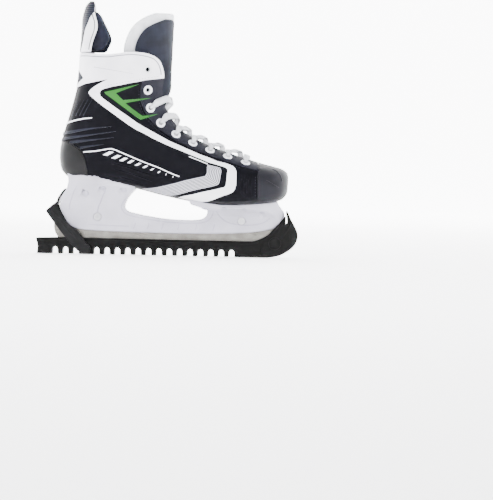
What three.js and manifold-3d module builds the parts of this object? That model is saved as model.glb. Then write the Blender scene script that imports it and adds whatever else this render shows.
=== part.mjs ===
import * as THREE from 'three';
import { mergeVertices } from 'three/addons/utils/BufferGeometryUtils.js';
import { LoftGeometry } from 'three/addons/geometries/LoftGeometry.js';
import Module from 'manifold-3d';

// A right ice hockey skate standing in its blade guard, in millimetres: +X to the toe, +Z up,
// the blade in the plane Y = 0 and the outer side of the foot at -Y.

// Driving sizes
const bootLength = 285;
const bootHeight = 252;
const ballWidth = 98;
const shellWall = 3;
const linerWall = 3;
const seamGap = 0.3;
const layerGap = 0.3;
const footbedDepth = 4;
const outsoleLip = 5.2;
const tongueFaceWall = 2.5;
const tongueFeltWall = 7;
const tendonGuardWall = 3.5;
const tendonPadWall = 7;
const eyeletHole = 5.4;
const eyeletRim = 11.6;
const eyeletTubeWall = 0.8;
const eyeletRimThickness = 0.8;
const laceWidth = 7.4;
const laceThickness = 1.2;
const runnerThickness = 3.2;
const holderRailWidth = 13;
const guardWidth = 22;
const guardHeight = 20;
const guardSlotFloor = 11;
const guardSlotWidth = 4.4;
const archCount = 18;
const archPitch = 12.98;
const archWidth = 7;
const archHeight = 9;
const clipWidth = 29;
const clipCheek = 3;
const pinDiameter = 5;
const pinGap = 0.1;
const pinHeadDiameter = 12;
const rivetHead = 9;
const rivetShank = 4;
const boltDiameter = 4.5;

// The outlines below are drawn for this length, height and width, and stretch with the driving sizes
const drawnLength = 285;
const drawnHeight = 252;
const drawnWidth = 98;
const soleLevel = 64;
const alongScale = bootLength / drawnLength;
const upScale = bootHeight / drawnHeight;
const acrossScale = ballWidth / drawnWidth;
const along = (x) => x * alongScale;
const up = (z) => (z <= soleLevel ? z : soleLevel + (z - soleLevel) * upScale);
const across = (y) => y * acrossScale;
const place = ([x, z]) => [along(x), up(z)];

const wasm = await Module();
wasm.setup();

// Solids: a closed three.js geometry becomes a manifold for joining and cutting, and back

function sharedVertices(geometry) {
  const bare = new THREE.BufferGeometry().copy(geometry);
  bare.deleteAttribute('normal');
  bare.deleteAttribute('uv');
  return mergeVertices(bare, 1e-4);
}

function solidFrom(geometry) {
  const merged = sharedVertices(geometry);
  return new wasm.Manifold(new wasm.Mesh({
    numProp: 3,
    vertProperties: new Float32Array(merged.attributes.position.array),
    triVerts: new Uint32Array(merged.index.array),
  }));
}

const simplifyWithin = 0.1;

function geometryFrom(solid) {
  const mesh = solid.simplify(simplifyWithin).getMesh();
  const geometry = new THREE.BufferGeometry();
  geometry.setAttribute('position', new THREE.BufferAttribute(mesh.vertProperties, 3));
  geometry.setIndex(new THREE.BufferAttribute(mesh.triVerts, 1));
  geometry.computeVertexNormals();
  return geometry;
}

function flipped(geometry) {
  const index = Array.from(geometry.index.array);
  for (let i = 0; i < index.length; i += 3) [index[i], index[i + 1]] = [index[i + 1], index[i]];
  geometry.setIndex(index);
  return geometry;
}

// A lofted solid faces outward whichever way round its sections run
function outward(geometry) {
  const solid = solidFrom(geometry);
  return solid.volume() < 0 ? solidFrom(flipped(geometry)) : solid;
}

const loftFrom = (rings) => sharedVertices(new LoftGeometry(rings, { capStart: true, capEnd: true }));

const shapeOf = (points) => new THREE.Shape(points.map(([a, b]) => new THREE.Vector2(a, b)));

// A side outline [x, z] made solid from one Y to another
function sidePrism(points, fromY, toY) {
  const geometry = new THREE.ExtrudeGeometry(shapeOf(points), { depth: toY - fromY, bevelEnabled: false });
  geometry.rotateX(Math.PI / 2);
  geometry.translate(0, toY, 0);
  return solidFrom(geometry);
}

// A cross-section [y, z] made solid from one X to another
function crossPrism(points, fromX, toX) {
  const geometry = new THREE.ExtrudeGeometry(shapeOf(points), { depth: toX - fromX, bevelEnabled: false });
  geometry.rotateX(Math.PI / 2);
  geometry.rotateZ(Math.PI / 2);
  geometry.translate(fromX, 0, 0);
  return solidFrom(geometry);
}

// A plan outline [x, y] made solid from one Z to another
function planPrism(points, fromZ, toZ) {
  const geometry = new THREE.ExtrudeGeometry(shapeOf(points), { depth: toZ - fromZ, bevelEnabled: false });
  geometry.translate(0, 0, fromZ);
  return solidFrom(geometry);
}

function box(fromX, toX, fromY, toY, fromZ, toZ) {
  const geometry = new THREE.BoxGeometry(toX - fromX, toY - fromY, toZ - fromZ);
  geometry.translate((fromX + toX) / 2, (fromY + toY) / 2, (fromZ + toZ) / 2);
  return solidFrom(geometry);
}

function cylinderY(x, z, radius, fromY, toY, segments = 24) {
  const geometry = new THREE.CylinderGeometry(radius, radius, toY - fromY, segments);
  geometry.translate(x, (fromY + toY) / 2, z);
  return solidFrom(geometry);
}

const mirrorY = (points) => [...points, ...points.map(([y, z]) => [-y, z]).reverse()];

// The boot's skin is a row of oval sections that fan out from the toe, round the heel and up to the
// ankle. Each is [bottom x, bottom z, top x, top z, half width, level of the widest point, floor power].
const sections = [
  [148.4, 86, 149.0, 98, 9, 0.5, 2.4],
  [147.4, 80.5, 148.4, 104, 19, 0.5, 2.4],
  [145, 76, 145.5, 108, 27.5, 0.46, 2.7],
  [140, 72, 140.5, 111, 35, 0.42, 3],
  [132, 70, 133, 113.2, 41, 0.4, 3.2],
  [122, 68.2, 124, 115.4, 45, 0.38, 3.4],
  [110, 66.6, 113, 118.2, 47.5, 0.36, 3.6],
  [97, 65.3, 102, 121.5, 49, 0.35, 3.6],
  [82, 64, 90, 125.6, 49, 0.35, 3.6],
  [66, 63.8, 76, 130.5, 47.5, 0.36, 3.6],
  [48, 65.2, 60, 136, 45, 0.38, 3.6],
  [30, 68, 45, 142, 43, 0.4, 3.6],
  [10, 71.6, 31, 149, 41, 0.42, 3.6],
  [-12, 76.2, 18, 156.5, 39.5, 0.44, 3.6],
  [-36, 82, 8.5, 165.5, 38, 0.45, 3.6],
  [-62, 87.4, 2, 175.5, 37.5, 0.45, 3.6],
  [-88, 90.7, -2, 186, 37, 0.45, 3.6],
  [-110, 93.2, -4, 196, 37, 0.45, 3.2],
  [-124, 95.6, -4, 204, 37, 0.45, 2.7],
  [-132.5, 103, -3.5, 211, 37, 0.46, 2.5],
  [-136, 116, -3, 217, 37, 0.47, 2.4],
  [-135.8, 131, -2, 223, 37.5, 0.48, 2.4],
  [-132.3, 150, -1, 229, 38.5, 0.5, 2.4],
  [-126.5, 170, 0, 235, 39.5, 0.5, 2.4],
  [-120.5, 192, 0.5, 241, 40.5, 0.5, 2.4],
  [-115.2, 217, 1, 248, 41.5, 0.5, 2.4],
  [-113.8, 246, 1.5, 256, 42, 0.5, 2.4],
  [-113, 266, 2, 270, 42, 0.5, 2.4],
];
const crownPower = 2.3;
const curveOf = (a, b) => new THREE.CatmullRomCurve3(
  sections.map((row) => new THREE.Vector3(along(row[a]), 0, up(row[b]))), false, 'catmullrom', 0.5);
const bottomCurve = curveOf(0, 1);
const topCurve = curveOf(2, 3);
const shapeCurve = new THREE.CatmullRomCurve3(
  sections.map((row) => new THREE.Vector3(across(row[4]), row[5], row[6])), false, 'catmullrom', 0.5);

const signedPower = (value, power) => Math.sign(value) * Math.abs(value) ** power;

// A point of the skin: u runs from the toe (0) to the ankle (1), angle from the top round to the bottom
function skin(u, angle) {
  const bottom = bottomCurve.getPoint(u);
  const top = topCurve.getPoint(u);
  const shape = shapeCurve.getPoint(u);
  const power = Math.cos(angle) < 0 ? shape.z : crownPower;
  const rise = signedPower(Math.cos(angle), 2 / power);
  const out = signedPower(Math.sin(angle), 2 / power);
  const fraction = rise < 0 ? shape.y * (1 + rise) : shape.y + (1 - shape.y) * rise;
  const point = bottom.lerp(top, fraction);
  point.y = shape.x * out;
  return point;
}

function skinNormal(u, angle) {
  const step = 1e-3;
  const low = Math.max(u - step, 0);
  const high = Math.min(u + step, 1);
  const alongSkin = skin(high, angle).sub(skin(low, angle));
  const aroundSkin = skin(u, angle + step).sub(skin(u, angle - step));
  return aroundSkin.cross(alongSkin).normalize();
}

const raised = (u, angle, lift) => skin(u, angle).addScaledVector(skinNormal(u, angle), lift);

const sectionCount = 25;
const ringCount = 24;

// The whole skin as a solid, moved in or out by an even distance
function skinSolid(offset) {
  const rings = [];
  for (let i = 0; i < sectionCount; i += 1) {
    const ring = [];
    for (let k = 0; k < ringCount; k += 1) {
      ring.push(skin(i / (sectionCount - 1), (2 * Math.PI * k) / ringCount));
    }
    rings.push(ring);
  }
  const geometry = loftFrom(rings);
  geometry.computeVertexNormals();
  const position = geometry.attributes.position;
  const normal = geometry.attributes.normal;
  for (let i = 0; i < position.count; i += 1) {
    position.setXYZ(i,
      position.getX(i) + normal.getX(i) * offset,
      position.getY(i) + normal.getY(i) * offset,
      position.getZ(i) + normal.getZ(i) * offset);
  }
  return outward(geometry);
}

// Where a side-view place [x, z] lies on the skin, as u and angle
function onSkin(x, z) {
  const goal = new THREE.Vector3(along(x), 0, up(z));
  let low = 0;
  let high = 1;
  for (let i = 0; i < 40; i += 1) {
    const u = (low + high) / 2;
    const bottom = bottomCurve.getPoint(u);
    const line = topCurve.getPoint(u).sub(bottom);
    const reach = goal.clone().sub(bottom);
    if (line.x * reach.z - line.z * reach.x > 0) low = u;
    else high = u;
  }
  const u = (low + high) / 2;
  const bottom = bottomCurve.getPoint(u);
  const line = topCurve.getPoint(u).sub(bottom);
  const fraction = goal.sub(bottom).dot(line) / line.lengthSq();
  const shape = shapeCurve.getPoint(u);
  const rise = fraction < shape.y ? fraction / shape.y - 1 : (fraction - shape.y) / (1 - shape.y);
  const power = rise < 0 ? shape.z : crownPower;
  const angle = Math.acos(signedPower(THREE.MathUtils.clamp(rise, -1, 1), power / 2));
  return { u, angle };
}

// Side-view lines on the boot
const soleLine = [[-150, 101], [-136, 99], [-122, 95], [-100, 92], [-60, 87], [-30, 80.5], [0, 73.5],
  [20, 70], [45, 65.5], [65, 63.7], [95, 65], [125, 68.5], [140, 72], [160, 77]];
const counterSeam = [[-150, 140], [-129, 140], [-120, 136.8], [-109, 130], [-103, 118], [-100, 104],
  [-99, 84]];
const collarSeam = [[-130, 206], [-112, 209.5], [-97, 207], [-84, 204], [-70, 208], [-50, 212.5],
  [-30, 217], [6, 222.5]];
const facingSeam = [[-33, 224], [-38, 192], [-27, 168], [-10, 152.5], [8, 141], [28, 131.5], [50, 123.5],
  [72, 116.5], [92, 110], [116, 106]];
const toeSeam = [[112, 58], [110.8, 80], [110.5, 100], [112, 130]];
const throatLine = [[111.6, 130], [111, 117.6], [100, 121], [90, 124.4], [76, 129], [60, 134.3],
  [45, 140.2], [31, 147], [18, 154.2], [8.5, 162.5], [1, 172], [-5.5, 184], [-9, 194], [-9.8, 206],
  [-8.3, 220], [-8.6, 228], [-10.5, 236], [-13, 241.5], [-19, 246.6], [-28, 249.5]];
const collarTop = [[-35, 250.4], [-45, 251], [-55, 250.5], [-65, 248.8], [-78, 247.4], [-93, 248],
  [-104, 249.3], [-140, 249.6]];

// A thin cut along a side-view line, as wide as the gap between two pieces of the shell
function ribbon(line, width) {
  const placed = line.map(place).map(([x, z]) => new THREE.Vector2(x, z));
  const sideOf = (i) => {
    const before = placed[Math.max(i - 1, 0)];
    const after = placed[Math.min(i + 1, placed.length - 1)];
    const direction = after.clone().sub(before).normalize();
    return new THREE.Vector2(-direction.y, direction.x).multiplyScalar(width / 2);
  };
  const left = placed.map((point, i) => point.clone().add(sideOf(i)));
  const right = placed.map((point, i) => point.clone().sub(sideOf(i))).reverse();
  const outline = [...left, ...right].map((point) => [point.x, point.y]);
  const reach = across(80);
  return sidePrism(outline, -reach, reach);
}

function belowLine(line, lift) {
  const placed = line.map(place).map(([x, z]) => [x, z + lift]);
  const first = placed[0];
  const last = placed[placed.length - 1];
  const reach = across(80);
  return sidePrism([...placed, [last[0], 0], [first[0], 0]], -reach, reach);
}

function sideRegion(points) {
  const reach = across(80);
  return sidePrism(points.map(place), -reach, reach);
}

// The piece of a cut shell that holds a point
function pieceAt(pieces, point) {
  const probe = box(point.x - 0.5, point.x + 0.5, point.y - 0.5, point.y + 0.5,
    point.z - 0.5, point.z + 0.5);
  return pieces.find((piece) => piece.intersect(probe).volume() > 1e-6);
}

function inShell(x, z, side, depth) {
  const { u, angle } = onSkin(x, z);
  return raised(u, side * angle, -depth);
}

const aboveTop = sideRegion([...throatLine, ...collarTop, [-150, 249.6], [-150, 400], [200, 400],
  [200, 130]]);
const throatHalf = 14;
const throatSlit = sidePrism([[111.4, 130], [111.4, 106], [95, 112], [70, 120], [45, 129], [20, 143],
  [2, 157], [-10, 172], [-17, 190], [-20, 215], [-24, 240], [-40, 260], [60, 260]].map(place),
  -across(throatHalf), across(throatHalf));
const ankleSlitHalf = 21;
const ankleSlit = sidePrism([[8, 197], [-14, 197], [-24, 206], [-28, 225], [-40, 260], [60, 260], [60, 197]]
  .map(place), -across(ankleSlitHalf), across(ankleSlitHalf));
const openingAbove = aboveTop.add(throatSlit).add(ankleSlit);

const outerSkin = skinSolid(0);
const shellInside = skinSolid(-shellWall);
const linerOutside = skinSolid(-shellWall - layerGap);
const linerInside = skinSolid(-shellWall - layerGap - linerWall);
const cavitySkin = skinSolid(-shellWall - 2 * layerGap - linerWall);

// Boot shell, cut into its real pieces along the seams
const spine = box(along(-150), along(-60), -seamGap / 2, seamGap / 2, up(140), up(300));
const shell = outerSkin.subtract(shellInside);
const wholeOutsole = shell.intersect(belowLine(soleLine, outsoleLip));
const shellPieces = shell.subtract(belowLine(soleLine, outsoleLip + seamGap))
  .subtract(openingAbove)
  .subtract(ribbon(toeSeam, seamGap))
  .subtract(ribbon(counterSeam, seamGap))
  .subtract(ribbon(collarSeam, seamGap))
  .subtract(ribbon(facingSeam, seamGap))
  .subtract(spine)
  .decompose();
const shellPiece = (x, z, side) => pieceAt(shellPieces, inShell(x, z, side, shellWall / 2));

// Above the collar seam the wall is one thick padded collar
const collarWall = shellWall + layerGap + linerWall;
const collarRegion = sideRegion([...collarSeam.map(([x, z]) => [x, z + seamGap / 2]),
  [6, 300], [-130, 300]]);
const collarPieces = outerSkin.subtract(linerInside)
  .intersect(collarRegion)
  .subtract(openingAbove)
  .subtract(spine)
  .decompose();
const collarPiece = (side) => pieceAt(collarPieces, inShell(-60, 235, side, collarWall / 2));

// Lining layer: the insole board below, the liner on the walls, open where the facings are
const liningGap = outsoleLip + layerGap + linerWall;
const lining = linerOutside.subtract(linerInside);
const insoleBoard = lining.intersect(belowLine(soleLine, liningGap - seamGap / 2));
const facingZone = sideRegion([...facingSeam.slice(0, -1).map(([x, z]) => [x - 1, z - 1.5]), [104, 107],
  [104, 300], [-34, 300]]);
const aboveCollar = sideRegion([...collarSeam.map(([x, z]) => [x, z - seamGap]), [6, 400], [-130, 400]]);
const liner = lining.subtract(belowLine(soleLine, liningGap + seamGap / 2))
  .subtract(facingZone)
  .subtract(aboveCollar)
  .decompose()
  .sort((a, b) => b.volume() - a.volume())[0];
const footbed = cavitySkin.intersect(belowLine(soleLine, liningGap + footbedDepth));

// Tongue under the lacing, below where it bends
const bendHeight = 198.6;
const laceRoom = 0.6;
const tongueDepth = collarWall + layerGap + laceRoom;
const lowerTongueRegion = sideRegion([[104, 107], [88, 111], [70, 116], [50, 122], [30, 130], [12, 140],
  [-5, 154], [-14, 168], [-18, 180], [-20, bendHeight], [30, bendHeight], [60, 200], [104, 170]]);
const lowerTongueFace = skinSolid(-tongueDepth)
  .subtract(skinSolid(-tongueDepth - tongueFaceWall))
  .intersect(lowerTongueRegion);
const lowerTongueFelt = skinSolid(-tongueDepth - tongueFaceWall - layerGap)
  .subtract(skinSolid(-tongueDepth - tongueFaceWall - layerGap - tongueFeltWall / 2))
  .intersect(lowerTongueRegion);

// A half-oval wall built up in level arcs: each row is [z, edge x, crown x, half width]. The crown is
// the middle of the arc, at the front of the tongue and at the back of the tendon guard.
const arcSteps = 12;
function arcWall(rows, wall) {
  const rings = rows.map(([z, edge, crown, half]) => {
    const point = (angle, inset) => {
      const reach = Math.abs(crown - edge) - inset;
      return new THREE.Vector3(
        along(edge) + Math.sign(crown - edge) * along(reach) * Math.cos(angle),
        (across(half) - inset) * Math.sin(angle),
        up(z));
    };
    const ring = [];
    for (let k = 0; k <= arcSteps; k += 1) ring.push(point(-Math.PI / 2 + (Math.PI * k) / arcSteps, 0));
    for (let k = arcSteps; k >= 0; k -= 1) ring.push(point(-Math.PI / 2 + (Math.PI * k) / arcSteps, wall));
    return crown < edge ? ring.reverse() : ring;
  });
  return outward(loftFrom(rings));
}

const faceRows = [[199, -22, 0.5, 18], [207, -27, 0.5, 18], [218, -32, 0.8, 18.5], [230, -37, 1, 20],
  [242, -42, 1.4, 24], [252, -44, 1.8, 31], [262, -42.5, 2, 33.5], [272, -38, 2.4, 34], [281, -31, 2.7, 33],
  [288, -21, 3, 29], [292, -14, 3, 24], [294, -9, 2, 19]];
const feltRows = [[199, -29], [210, -38], [225, -46], [240, -55], [252, -59], [264, -57], [273, -54],
  [281, -50], [288, -45], [294, -38.5], [299.5, -30], [302.5, -22], [304, -14]];

function rowAt(rows, z, column) {
  const after = rows.findIndex((row) => row[0] >= z);
  if (after <= 0) return rows[after === 0 ? 0 : rows.length - 1][column];
  const [a, b] = [rows[after - 1], rows[after]];
  return a[column] + ((b[column] - a[column]) * (z - a[0])) / (b[0] - a[0]);
}

const upperTongueFace = arcWall(faceRows, tongueFaceWall);
const feltInset = tongueFaceWall + layerGap;
const feltTop = faceRows[faceRows.length - 1][0] + layerGap;
const feltLevels = feltRows.map(([z, edge]) => {
  const overFace = z > feltTop;
  const half = overFace ? 27 - (z - feltTop) * 1.4 : rowAt(faceRows, z, 3) - feltInset;
  const crown = overFace ? 3.5 : rowAt(faceRows, z, 2) - feltInset;
  return [z, edge, crown, half];
});
const upperTongueFelt = arcWall(feltLevels, tongueFeltWall).subtract(solidTongueFace());

// The felt is cut back where the face's rounded top would meet it
function solidTongueFace() {
  const grown = faceRows.map(([z, edge, crown, half], i) => [
    z + (i === faceRows.length - 1 ? layerGap : 0), edge - layerGap, crown + layerGap, half + layerGap]);
  return arcWall(grown, tongueFaceWall + 2 * layerGap);
}

// Tendon guard and its pad, standing on the back of the collar
const guardFoot = 250.2;
const guardRows = [[guardFoot, -98, -113.4, 31], [257, -97.6, -113, 31], [264, -96.2, -112.4, 30],
  [272, -93.6, -112, 29], [280, -91.2, -111.6, 27.5], [288, -91.6, -111.4, 25], [296, -94, -110.6, 21],
  [303, -95.6, -109, 16.5], [309, -95.6, -107, 12], [313, -96.5, -104.2, 8], [315.6, -97.4, -102.4, 5.6]];
const padRows = [[252.6, -83], [260, -79.5], [268, -76], [276, -77.5], [284, -81],
  [292, -85], [299, -88], [304, -93]];
const tendonGuard = arcWall(guardRows, tendonGuardWall);
const padInset = tendonGuardWall + layerGap + 0.4;
const tendonPad = arcWall(padRows.map(([z, edge]) => [
  z, edge, rowAt(guardRows, z, 2) + padInset, rowAt(guardRows, z, 3) - padInset]), tendonPadWall);

// Eyelets, nine a side, each a rim and a tube through the facing or the collar
const eyeletPlaces = [[95.3, 117.6], [73, 124.6], [51, 132], [29.5, 140.4], [8.5, 151], [-10.6, 164.5],
  [-23.5, 183], [-27, 205], [-27.5, 230]];
const topEyelet = eyeletPlaces.length - 1;
const rimLift = 0.55;
const eyeletSides = 10;
const tubeRadius = eyeletHole / 2 + eyeletTubeWall;

function eyeletGeometry(wall) {
  const tail = -wall - layerGap;
  const profile = [[eyeletHole / 2, tail], [tubeRadius, tail], [tubeRadius, rimLift],
    [eyeletRim / 2, rimLift], [eyeletRim / 2 - 0.4, rimLift + eyeletRimThickness],
    [eyeletHole / 2, rimLift + eyeletRimThickness], [eyeletHole / 2, tail]];
  const geometry = new THREE.LatheGeometry(profile.map(([r, h]) => new THREE.Vector2(r, h)), eyeletSides);
  return geometryFrom(solidFrom(geometry));
}

function eyeletPose(index, side) {
  const { u, angle } = onSkin(...eyeletPlaces[index]);
  const position = skin(u, side * angle);
  const normal = skinNormal(u, side * angle);
  const turn = new THREE.Quaternion().setFromUnitVectors(new THREE.Vector3(0, 1, 0), normal);
  return { position, normal, turn };
}

function eyeletBore(index, side) {
  const { position, turn } = eyeletPose(index, side);
  const geometry = new THREE.CylinderGeometry(tubeRadius + layerGap, tubeRadius + layerGap, 24, eyeletSides);
  geometry.applyQuaternion(turn);
  geometry.translate(position.x, position.y, position.z);
  return solidFrom(geometry);
}

function withEyeletBores(solid, side, indices) {
  return indices.reduce((cut, index) => cut.subtract(eyeletBore(index, side)), solid);
}

const facingEyelets = eyeletPlaces.map((_, index) => index).slice(0, topEyelet);

// Lace: a flat braid through the lower seven pairs. Each stop is a place on the skin and a height.
const lacedPairs = 7;
const eyeletSpots = eyeletPlaces.map((spot) => onSkin(...spot));
const underFacing = -(shellWall + layerGap + 1.6);
const overRim = rimLift + eyeletRimThickness + laceThickness / 2 + 0.6;

function towardThroat(spot, distance) {
  const step = 1e-3;
  const rate = skin(spot.u, spot.angle + step).distanceTo(skin(spot.u, spot.angle)) / step;
  return spot.angle - distance / rate;
}

function stop(spot, side, distance, height, narrow) {
  return { point: raised(spot.u, side * towardThroat(spot, distance), height), narrow };
}

// A stop between two pairs, at a given share of the way up and a given distance out from the middle
function stopBetween(lower, upper, share, out, height, narrow) {
  const u = THREE.MathUtils.lerp(lower.u, upper.u, share);
  let low = 0;
  let high = Math.PI / 2;
  for (let i = 0; i < 30; i += 1) {
    const angle = (low + high) / 2;
    if (skin(u, angle).y < Math.abs(out)) low = angle;
    else high = angle;
  }
  return { point: raised(u, Math.sign(out) * low, height), narrow };
}

function threading(spot, side) {
  return [
    stop(spot, side, 12, overRim + 1, 0),
    stop(spot, side, 8, overRim + 0.7, 0.2),
    stop(spot, side, 4.4, overRim + 0.4, 0.7),
    stop(spot, side, 0.4, overRim - 0.4, 1),
    stop(spot, side, 0, -0.8, 1),
    stop(spot, side, 0.3, underFacing + 0.9, 1),
    stop(spot, side, 4.5, underFacing - 0.1, 0.7),
  ];
}

function laceHalf(firstSide, height) {
  const stops = [];
  let side = firstSide;
  for (let pair = 0; pair < lacedPairs; pair += 1) {
    stops.push(...threading(eyeletSpots[pair], side));
    if (pair < lacedPairs - 1) {
      const [lower, upper] = [eyeletSpots[pair], eyeletSpots[pair + 1]];
      const edge = across(throatHalf);
      stops.push(stopBetween(lower, upper, 0.1, side * (edge + 3), underFacing - 0.2, 0.3));
      stops.push(stopBetween(lower, upper, 0.22, side * (edge - 4), underFacing + 0.7, 0.1));
      stops.push(stopBetween(lower, upper, 0.5, 0, height, 0));
      stops.push(stopBetween(lower, upper, 0.8, -side * edge, 4.2, 0));
      side = -side;
    }
  }
  return { stops, lastSide: side };
}

// The ends drop inside the boot behind the tongue
const tailPlaces = [[-39, 178, 21], [-58, 160, 15], [-80, 138, 14], [-92, 118, 15], [-74, 110.5, 17],
  [-40, 105, 17], [0, 95, 17]];
function tail(side) {
  return tailPlaces.map(([x, z, y]) => ({
    point: new THREE.Vector3(along(x), side * across(y), up(z)),
    narrow: 0.4,
  }));
}

function laceSolid() {
  const first = laceHalf(-1, 2.2);
  const second = laceHalf(1, 4.6);
  const stops = [
    ...tail(first.lastSide).reverse(), ...first.stops.reverse(),
    stopBetween(eyeletSpots[0], eyeletSpots[1], 0, -across(throatHalf), 2.6, 0),
    stopBetween(eyeletSpots[0], eyeletSpots[1], 0, 0, 2.2, 0),
    stopBetween(eyeletSpots[0], eyeletSpots[1], 0, across(throatHalf), 2.6, 0),
    ...second.stops, ...tail(second.lastSide),
  ];
  const path = new THREE.CatmullRomCurve3(stops.map((entry) => entry.point), false, 'centripetal');
    const count = stops.length - 1;
  const rings = [];
  let across0 = new THREE.Vector3(1, 0, 0);
  for (let i = 0; i <= count; i += 1) {
    const t = i / count;
    const point = path.getPoint(t);
    const tangent = path.getTangent(t);
    const { narrow } = stops[i];
    const wide = across0.clone().addScaledVector(tangent, -across0.dot(tangent)).normalize();
    if (wide.lengthSq() > 0.5) across0 = wide;
    const thick = tangent.clone().cross(wide).normalize();
    const halfWide = THREE.MathUtils.lerp(laceWidth / 2, 1.2, narrow);
    const halfThick = THREE.MathUtils.lerp(laceThickness / 2, 0.7, narrow);
    const ring = [];
    for (let k = 0; k < 8; k += 1) {
      const angle = (2 * Math.PI * k) / 8 + Math.PI / 8;
      ring.push(point.clone()
        .addScaledVector(wide, halfWide * signedPower(Math.cos(angle), 0.6))
        .addScaledVector(thick, halfThick * signedPower(Math.sin(angle), 0.6)));
    }
    rings.push(ring);
  }
  return outward(loftFrom(rings));
}

// Holder: a side outline with its window, narrowed by a cross-section and by a plan outline
const holderOutline = [[-127, 104], [-124.3, 92], [-126, 82], [-130, 76], [-134, 70], [-135.5, 65],
  [-135.5, 60], [-134, 55], [-130.5, 48], [-126, 40], [-120, 34], [-112, 31], [-100, 30], [-75, 29],
  [-50, 28.5], [0, 27.8], [50, 28.2], [75, 29], [100, 30.5], [115, 32.5], [130, 35.5], [138, 40],
  [143, 46], [145.5, 52], [145.5, 56], [143, 60], [140, 64], [137, 68], [137, 90], [-60, 104]];
const holderWindow = [[-33, 110], [-41.5, 82], [-47, 76], [-51, 70], [-53.5, 64], [-54, 60], [-52, 56],
  [-48, 54], [-40, 52], [-30, 50], [-20, 48.5], [-10, 47], [0, 46], [10, 45.3], [30, 45], [40, 46],
  [45, 48], [48, 51], [49.3, 55], [49, 59], [41, 61], [29, 64.5], [26, 70], [26, 110]];
const flangeHalf = 29;
const rail = holderRailWidth / 2;
const rearSection = mirrorY([[rail, 20], [rail, 38], [rail + 1.5, 48], [rail + 4.5, 60], [rail + 9, 71],
  [rail + 15, 80], [rail + 20, 85.5], [flangeHalf, 88], [flangeHalf, 112]]);
const frontSection = mirrorY([[rail, 20], [rail, 36], [rail + 2, 44], [rail + 6, 51], [rail + 12, 56],
  [rail + 19, 58.5], [flangeHalf + 3, 60], [flangeHalf + 3, 100]]);
const flangePlan = [[-136, 0], [-134, 12], [-119, 20], [-108, 26], [-90, flangeHalf], [-50, 26], [-20, 25],
  [10, 29], [50, 33], [90, 33], [115, 28], [130, 17], [140, 9], [146.5, 3], [147, 0]];
const sectionJoin = -10;
const widen = (points) => points.map(([y, z]) => [across(y), up(z)]);
const holderPlan = [...flangePlan, ...flangePlan.slice(1, -1).map(([x, y]) => [x, -y]).reverse()]
  .map(([x, y]) => [along(x), across(y)]);
const holderReach = across(flangeHalf + 12);
const runnerGap = 0.3;
const runnerTop = 38;
const towerHoles = [[-88, 47], [92, 45]];
const holderBlank = sidePrism(holderOutline.map(place), -holderReach, holderReach)
  .subtract(sidePrism(holderWindow.map(place), -holderReach, holderReach))
  .intersect(crossPrism(widen(rearSection), along(-160), along(sectionJoin))
    .add(crossPrism(widen(frontSection), along(sectionJoin), along(160))))
  .intersect(planPrism(holderPlan, 0, up(200)))
  .subtract(skinSolid(layerGap));

// Runner: the steel, with two posts that take the cross bolts
const runnerOutline = [[-142.5, 40], [-142.5, 33], [-141, 26.5], [-137, 20], [-130, 15], [-120, 12.8],
  [-90, 11.7], [0, 11.3], [80, 11.7], [108, 12.8], [122, 16], [133, 21.5], [142, 30], [146.5, 38],
  [147.3, 43.5], [144.5, 44.5], [140, 42], [136, runnerTop], [104, runnerTop], [101, 51], [83, 51],
  [80, runnerTop], [-76, runnerTop], [-79, 53], [-97, 53], [-100, runnerTop], [-134, runnerTop], [-138, 40]];
const runnerHalf = runnerThickness / 2;
const boltRadius = boltDiameter / 2;
const runnerSlot = sidePrism(runnerOutline.map(place), -runnerHalf - runnerGap, runnerHalf + runnerGap);
const slotGrowth = [[0, runnerGap], [0, -8], [runnerGap, 0], [-runnerGap, 0], [0, 0]];
const slotForRunner = slotGrowth.slice(1).reduce(
  (sum, [dx, dz]) => sum.add(runnerSlot.translate(dx, 0, dz)), runnerSlot.translate(0, 0, runnerGap));

const boltHead = 9;
const boltHeadDepth = 3;
const nutDepth = 4;
const holderWallAt = (z) => (z < 46 ? rail + 1.6 : rail + 1.4);
let holder = holderBlank.subtract(slotForRunner);
let runner = sidePrism(runnerOutline.map(place), -runnerHalf, runnerHalf);
const bolts = [];
towerHoles.forEach(([x, z], index) => {
  const half = holderWallAt(z);
  const centreX = along(x);
  const bore = cylinderY(centreX, z, boltRadius + 0.3, -30, 30, 16);
  const headSeat = half - boltHeadDepth;
  const recess = cylinderY(centreX, z, boltHead / 2 + 0.4, -30, -headSeat, 16)
    .add(cylinderY(centreX, z, boltHead / 2 + 0.4, headSeat, 30, 6));
  holder = holder.subtract(bore).subtract(recess);
  runner = runner.subtract(bore);
  const shankEnd = half;
  const head = cylinderY(centreX, z, boltHead / 2, -half, -headSeat - 0.3, 16);
  const socket = cylinderY(centreX, z, 2, -half - 1, -half + 1.6, 6);
  const shank = cylinderY(centreX, z, boltRadius, -headSeat - 0.4, shankEnd, 16);
  const nut = cylinderY(centreX, z, boltHead / 2, headSeat + 0.3, headSeat + nutDepth - 1.3, 6)
    .subtract(cylinderY(centreX, z, boltRadius + 0.3, -30, 30, 16));
  bolts.push({ end: index === 0 ? 'rear' : 'front', bolt: head.add(shank).subtract(socket), nut });
});

// Sole rivets through the holder's flange and the outsole
const rivetPlaces = [[-105, 19, 'rear'], [-83, 23, 'rear'], [-57.5, 22, 'rear'], [45, 24, 'front'],
  [70, 27, 'front'], [95, 25, 'front'], [118, 16, 'front']];
const rivetSides = 8;
const headRadius = rivetHead / 2;
const shankRadius = rivetShank / 2;
const soleLayers = {
  outsole: wholeOutsole,
  insole_board: insoleBoard,
  heel_counter: shellPiece(-118, 115, 1),
  lateral_quarter: shellPiece(-40, 120, -1),
  medial_quarter: shellPiece(-40, 120, 1),
};
const rivets = [];

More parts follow.
